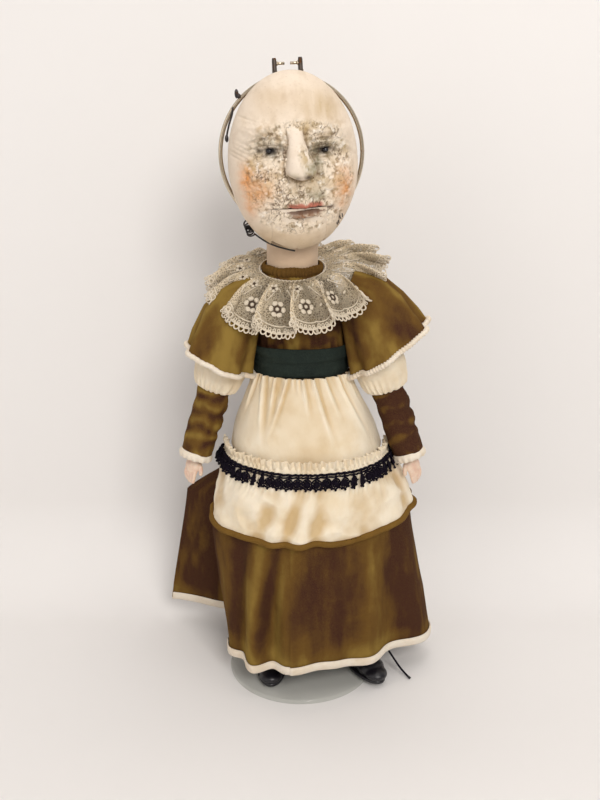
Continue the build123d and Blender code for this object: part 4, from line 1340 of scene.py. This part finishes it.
def make_hand(side):
    s = SIDES[side]
    _, elbow, wrist = arm_axes(side)
    m = frame_of(wrist - elbow)
    if m[0, 0] < 0:
        m[:, :2] *= -1
    pile = Pile()

    def at(x, y, z):
        return wrist + m @ np.array([s * x, y, z], float)

    flip = m[1, 1]
    turn = math.radians(55) * s
    m[:, :2] = np.stack([math.cos(turn) * m[:, 0] - flip * math.sin(turn) * m[:, 1],
                         math.cos(turn) * m[:, 1] + flip * math.sin(turn) * m[:, 0]], 1)
    pile.tube([at(0, 0, -6), at(0, 0, 2), at(0, 0, 8)], [6.6, 5.8, 6.0], 16)
    pile.ball(at(0, 0, 13.5), (4.8, 8.8, 9.5), m, 14, 20)
    curl = [(-1.5, 9), (-3.5, 10), (-4.5, 10), (-5.5, 9)]
    for k, (bend, size) in enumerate(curl):
        y = (-5.4 + 3.6 * k) * flip
        path = spline([at(0, y, 17), at(0.6, y * 1.03, 22), at(bend * 0.3, y * 1.0, 22 + size * 0.55),
                       at(bend, y * 0.95, 22 + size)], 12)
        pile.tube(path, np.linspace(2.5, 1.7, 12), 12)
        pile.ball(path[-1], (1.75, 1.75, 1.75), rows=10, cols=12)
    thumb = spline([at(-1, -5 * flip, 9), at(-2.5, -9 * flip, 14), at(-3.2, -10.5 * flip, 20)], 10)
    pile.tube(thumb, np.linspace(2.9, 1.9, 10), 12)
    pile.ball(thumb[-1], (1.95, 1.95, 1.95), rows=10, cols=12)
    hand = remesh(pile.build(f"china_hand_{side}", LOOK["bisque"]), 0.55, 4)
    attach(hand, f"forearm_{side}")
    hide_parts(f"hand_{side}")


CAPES = {
    "left": {"rings": [((34, 408, 13), (52, 446, 13)), ((39, 398, 22), (80, 440, 22)),
                       ((43, 378, 30), (99, 424, 29)),
                       ((47, 358, 36), (113, 407, 35)), ((51, 343, 40), (122, 394, 39))], "lean": -10},
    "right": {"rings": [((34, 408, 13), (50, 440, 13)), ((39, 398, 22), (78, 430, 22)),
                        ((43, 378, 30), (95, 410, 29)),
                        ((47, 358, 36), (106, 386, 35)), ((49, 344, 40), (111, 370, 39))], "lean": -10},
}


def cape_point(side, v, a, out=0.0):
    """v 0 at the shoulder seam, 1 at the hem; a goes round, 0 on the outer side, -90 degrees in front."""
    rings = np.array([[*near, *far] for near, far in CAPES[side]["rings"]], float)
    t = v * (len(rings) - 1)
    i = np.clip(t.astype(int), 0, len(rings) - 2)
    f = t - i
    f = (f * f * (3 - 2 * f) * 0.25 + f * 0.75)[..., None]
    row = rings[i] * (1 - f) + rings[i + 1] * f
    near, far = row[..., 0:2], row[..., 3:5]
    mid, half = (near + far) / 2, (far - near) / 2
    deep = row[..., 2]
    wave = (2.4 * np.sin(6 * a + 0.8 * np.sin(2 * a)) + 1.1 * np.sin(11 * a + 1)) * v ** 1.5
    grow = 1 + (out + wave + 0.8 * lumps(a * 30, v * 60, 20, 3, 131)) / 32
    x = mid[..., 0] + half[..., 0] * np.cos(a) * grow
    z = mid[..., 1] + half[..., 1] * np.cos(a) * grow
    y = -6 + CAPES[side]["lean"] * v * 0.6 + deep * np.sin(a) * grow
    return np.stack([SIDES[side] * x, y, z], -1)


def make_cape(side):
    v, a = lattice(90, 360)
    # shade is painted light: the right cape is painted lit and the left one shaded, with streaks of random
    # tone.
    streak = 0.5 * np.sin(7 * a + 2 * np.sin(2 * a)) + 1.6 * lumps(a * 30, v * 40, 14, 3, 131)
    shade = pile_tone_and_shade((0.66 if side == "right" else 0.52) + 0.2 * streak)
    cape = grid(f"cape_cloth_{side}", cape_point(side, v, a), LOOK["velvet with painted shade"], wrap=True, thick=1.4,
                tint=shade)
    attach(cape, f"upper_arm_{side}")
    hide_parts(f"cape_{side}")
    a = around(520)
    edge = cape_point(side, np.full(520, 0.995), a, 0.8)
    width = 2.5 + (0.45 * np.sin(a * 90) if side == "left" else 0.15 * np.sin(a * 40))
    trim = Pile().tube(edge, width, 12, closed=True).build(f"cape_binding_{side}", LOOK["binding"])
    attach(trim, f"upper_arm_{side}")


# ---------------------------------------------------------------- boots
BOOTS = {"left": ((62.0, -4.0), 27.0), "right": ((-32.0, -4.0), 0.0)}


def make_boot(side):
    (bx, by), toe_out = BOOTS[side]
    turn = math.radians(toe_out)
    m = np.array([[math.cos(turn), -math.sin(turn), 0], [math.sin(turn), math.cos(turn), 0], [0, 0, 1]])

    def at(x, y, z):
        return np.array([bx, by, 5.8]) + m @ np.array([x, y, z], float)

    body = Pile()
    for y, wide, tall in ((-40, 12.5, 9.5), (-30, 15.0, 13), (-18, 15.5, 17), (-6, 14.0, 23), (6, 14.0, 26),
                          (10, 13, 22)):
        body.ball(at(0, y, 3.6 + tall * 0.42), (wide, 14, tall * 0.72), m, 14, 20)
    body.tube([at(0, 4, 10), at(0, 4, 30), at(0, 3, 50)], [14, 13.2, 13.4], 28)
    boot = remesh(body.build(f"boot_upper_{side}", LOOK["leather"]), 1.0, 8)
    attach(boot, f"leg_{side}")
    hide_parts(f"boot_{side}")
    rim = [at(16.2 * math.cos(t), -16 + 36 * math.sin(t), 0) for t in around(90)]
    rim = np.array(rim)
    centre = at(0, -16, 0)
    layers = [(0.93, 0.0), (1.0, 0.7), (1.0, 3.2), (0.95, 3.9)]
    rings = np.array([centre + (rim - centre) * k + (0, 0, z) for k, z in layers])
    verts = rings.reshape(-1, 3)
    faces = grid_faces(4, 90, wrap=True) + [tuple(range(90))[::-1], tuple(range(270, 360))]
    sole = add_mesh(f"sole_{side}", verts, faces, LOOK["leather"])
    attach(sole, f"leg_{side}")
    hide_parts(f"boot_sole_{side}")
    laces = Pile()
    for k in range(4):
        y, z = -14 + 3.4 * k, 20.5 + 6.3 * k
        for s in (-1, 1):
            path = spline([at(s * 6.0, y + 1.5, z - 1.5), at(0, y - 3.8, z + 2.6),
                           at(-s * 6.0, y + 3.6, z + 4.6)], 12)
            laces.tube(path, 0.9, 7)
    for s in (-1, 1):
        t = np.linspace(0, TAU, 30)
        loop = [at(s * (5 + 5 * math.sin(k / 2) ** 2 * 1.6), -6 - 4 * math.sin(k),
                   41 - 5 * math.sin(k / 2) ** 2) for k in t]
        laces.tube(loop, 0.9, 7)
    laces = laces.build(f"laces_{side}", LOOK["black thread"])
    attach(laces, f"leg_{side}")


def make_lace_end():
    route = [(84.0, -8.0, 33.0), (93.0, -12.0, 28.5), (102.0, -19.5, 17.0), (110.5, -26.5, 6.5),
             (118.5, -33.0, 1.4)]
    curve = bpy.data.curves.new("lace_end", "CURVE")
    curve.dimensions = "3D"
    curve.bevel_depth = 1.1 * MM
    curve.bevel_resolution = 4
    curve.use_fill_caps = True
    line = curve.splines.new("NURBS")
    line.points.add(len(route) - 1)
    for point, (x, y, z) in zip(line.points, route):
        point.co = (x * MM, y * MM, z * MM, 1)
    line.order_u = 3
    line.use_endpoint_u = True
    curve.materials.append(LOOK["black thread"])
    lace = bpy.data.objects.new("lace_end", curve)
    bpy.context.collection.objects.link(lace)
    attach(lace, "leg_left")
    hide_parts("boot_lace")
    tag = Pile().tube([(116.9, -31.7, 2.4), (118.9, -33.3, 1.5)], 1.35, 12).build("lace_tag", LOOK["leather"])
    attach(tag, "leg_left")


# ---------------------------------------------------------------- frame pieces that stay
def dress_frame():
    looks = {
        "acrylic": ["stand_base"],
        "steel": ["stand_post", "post_flange", "flange_screws", "post_collar", "hip_pins", "shoulder_pins",
                  "nod_pin",
                  "jaw_axle", "jaw_spring", "lever_pin"],
        "wood": ["pelvis_block", "neck_socket", "head_stick", "upper_arm_left", "upper_arm_right",
                 "forearm_left",
                 "forearm_right", "thigh_left", "thigh_right", "shin_left", "shin_right", "head_board",
                 "neck_bracket"],
        "card": ["torso_shell"],
        "neck": ["neck"],
        "brass": ["jaw_lever"],
        "ecru thread": ["jaw_cord"],
        "back": ["jaw"],
    }
    for look, names in looks.items():
        for name in names:
            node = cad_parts[name]
            for slot in node.material_slots:
                slot.link = "OBJECT"
                slot.material = LOOK[look]


# ---------------------------------------------------------------- studio
LENS_MM, CAMERA_AT, CAMERA_DOWN = 45, (-0.001, -0.964, 0.640), 18.9


def make_stage():
    k = Look("paper", rough=0.9)
    k.color(k.mix(k.noise(2.0, 2), (0.85, 0.835, 0.82), (0.81, 0.79, 0.77)))
    facing = k.nodes.new("ShaderNodeNewGeometry")
    clear = k.nodes.new("ShaderNodeBsdfTransparent")
    either = k.nodes.new("ShaderNodeMixShader")
    k.links.new(facing.outputs["Backfacing"], either.inputs[0])
    k.links.new(clear.outputs[0], either.inputs[1])
    k.links.new(k.bsdf.outputs[0], either.inputs[2])
    k.links.new(either.outputs[0], k.nodes["Material Output"].inputs["Surface"])
    path = []
    bend_y, bend_r = 84.0, 110.0
    for t in np.linspace(0, 1, 20):
        path.append((-1700 + t * (bend_y + 1700), 0.0))
    for a in np.linspace(0, math.pi / 2, 30)[1:]:
        path.append((bend_y + bend_r * math.sin(a), bend_r - bend_r * math.cos(a)))
    path.append((bend_y + bend_r, 2600.0))
    points = np.array([[(x, y, z) for x in (-2500, 0, 2500)] for y, z in path], float)
    sweep = grid("paper_sweep", points, k.mat)
    lights = (
        ("key", (0.55, -1.9, 1.55), 0.8, 28, (1.0, 0.965, 0.93)),
        ("fill", (-1.6, -1.3, 1.1), 1.6, 7, (1.0, 0.955, 0.925)),
        ("top", (0.2, -0.5, 2.2), 1.2, 8.5, (1.0, 0.965, 0.94)),
    )
    for name, place, size, watts, color in lights:
        lamp = bpy.data.lights.new(name, "AREA")
        lamp.shape = "SQUARE"
        lamp.size = size
        lamp.energy = watts
        lamp.color = color
        obj = bpy.data.objects.new(name, lamp)
        obj.location = place
        obj.rotation_euler = (Vector((0, 0, 0.35)) - Vector(place)).to_track_quat("-Z", "Y").to_euler()
        bpy.context.collection.objects.link(obj)
    world = bpy.data.worlds.new("studio")
    world.use_nodes = True
    world.node_tree.nodes["Background"].inputs["Color"].default_value = (1.0, 0.955, 0.935, 1)
    world.node_tree.nodes["Background"].inputs["Strength"].default_value = 0.37
    bpy.context.scene.world = world
    bpy.context.scene.view_settings.view_transform = "Standard"
    lens = bpy.data.cameras.new("camera")
    lens.lens = LENS_MM
    lens.sensor_fit = "VERTICAL"
    lens.sensor_height = 36
    camera = bpy.data.objects.new("camera", lens)
    camera.location = CAMERA_AT
    camera.rotation_euler = (math.radians(90 - CAMERA_DOWN), 0, 0)
    bpy.context.collection.objects.link(camera)
    bpy.context.scene.camera = camera


def main():
    make_face()
    make_nose()
    make_eyes()
    make_back_of_head()
    make_hoop()
    make_tie_wires()
    make_neck()
    make_collar()
    make_bodice()
    make_sash()
    make_skirt()
    make_apron()
    make_black_lace()
    for side in SIDES:
        make_puff(side)
        make_sleeve(side)
        make_hand(side)
        make_cape(side)
        make_boot(side)
    make_lace_end()
    dress_frame()
    make_stage()


main()
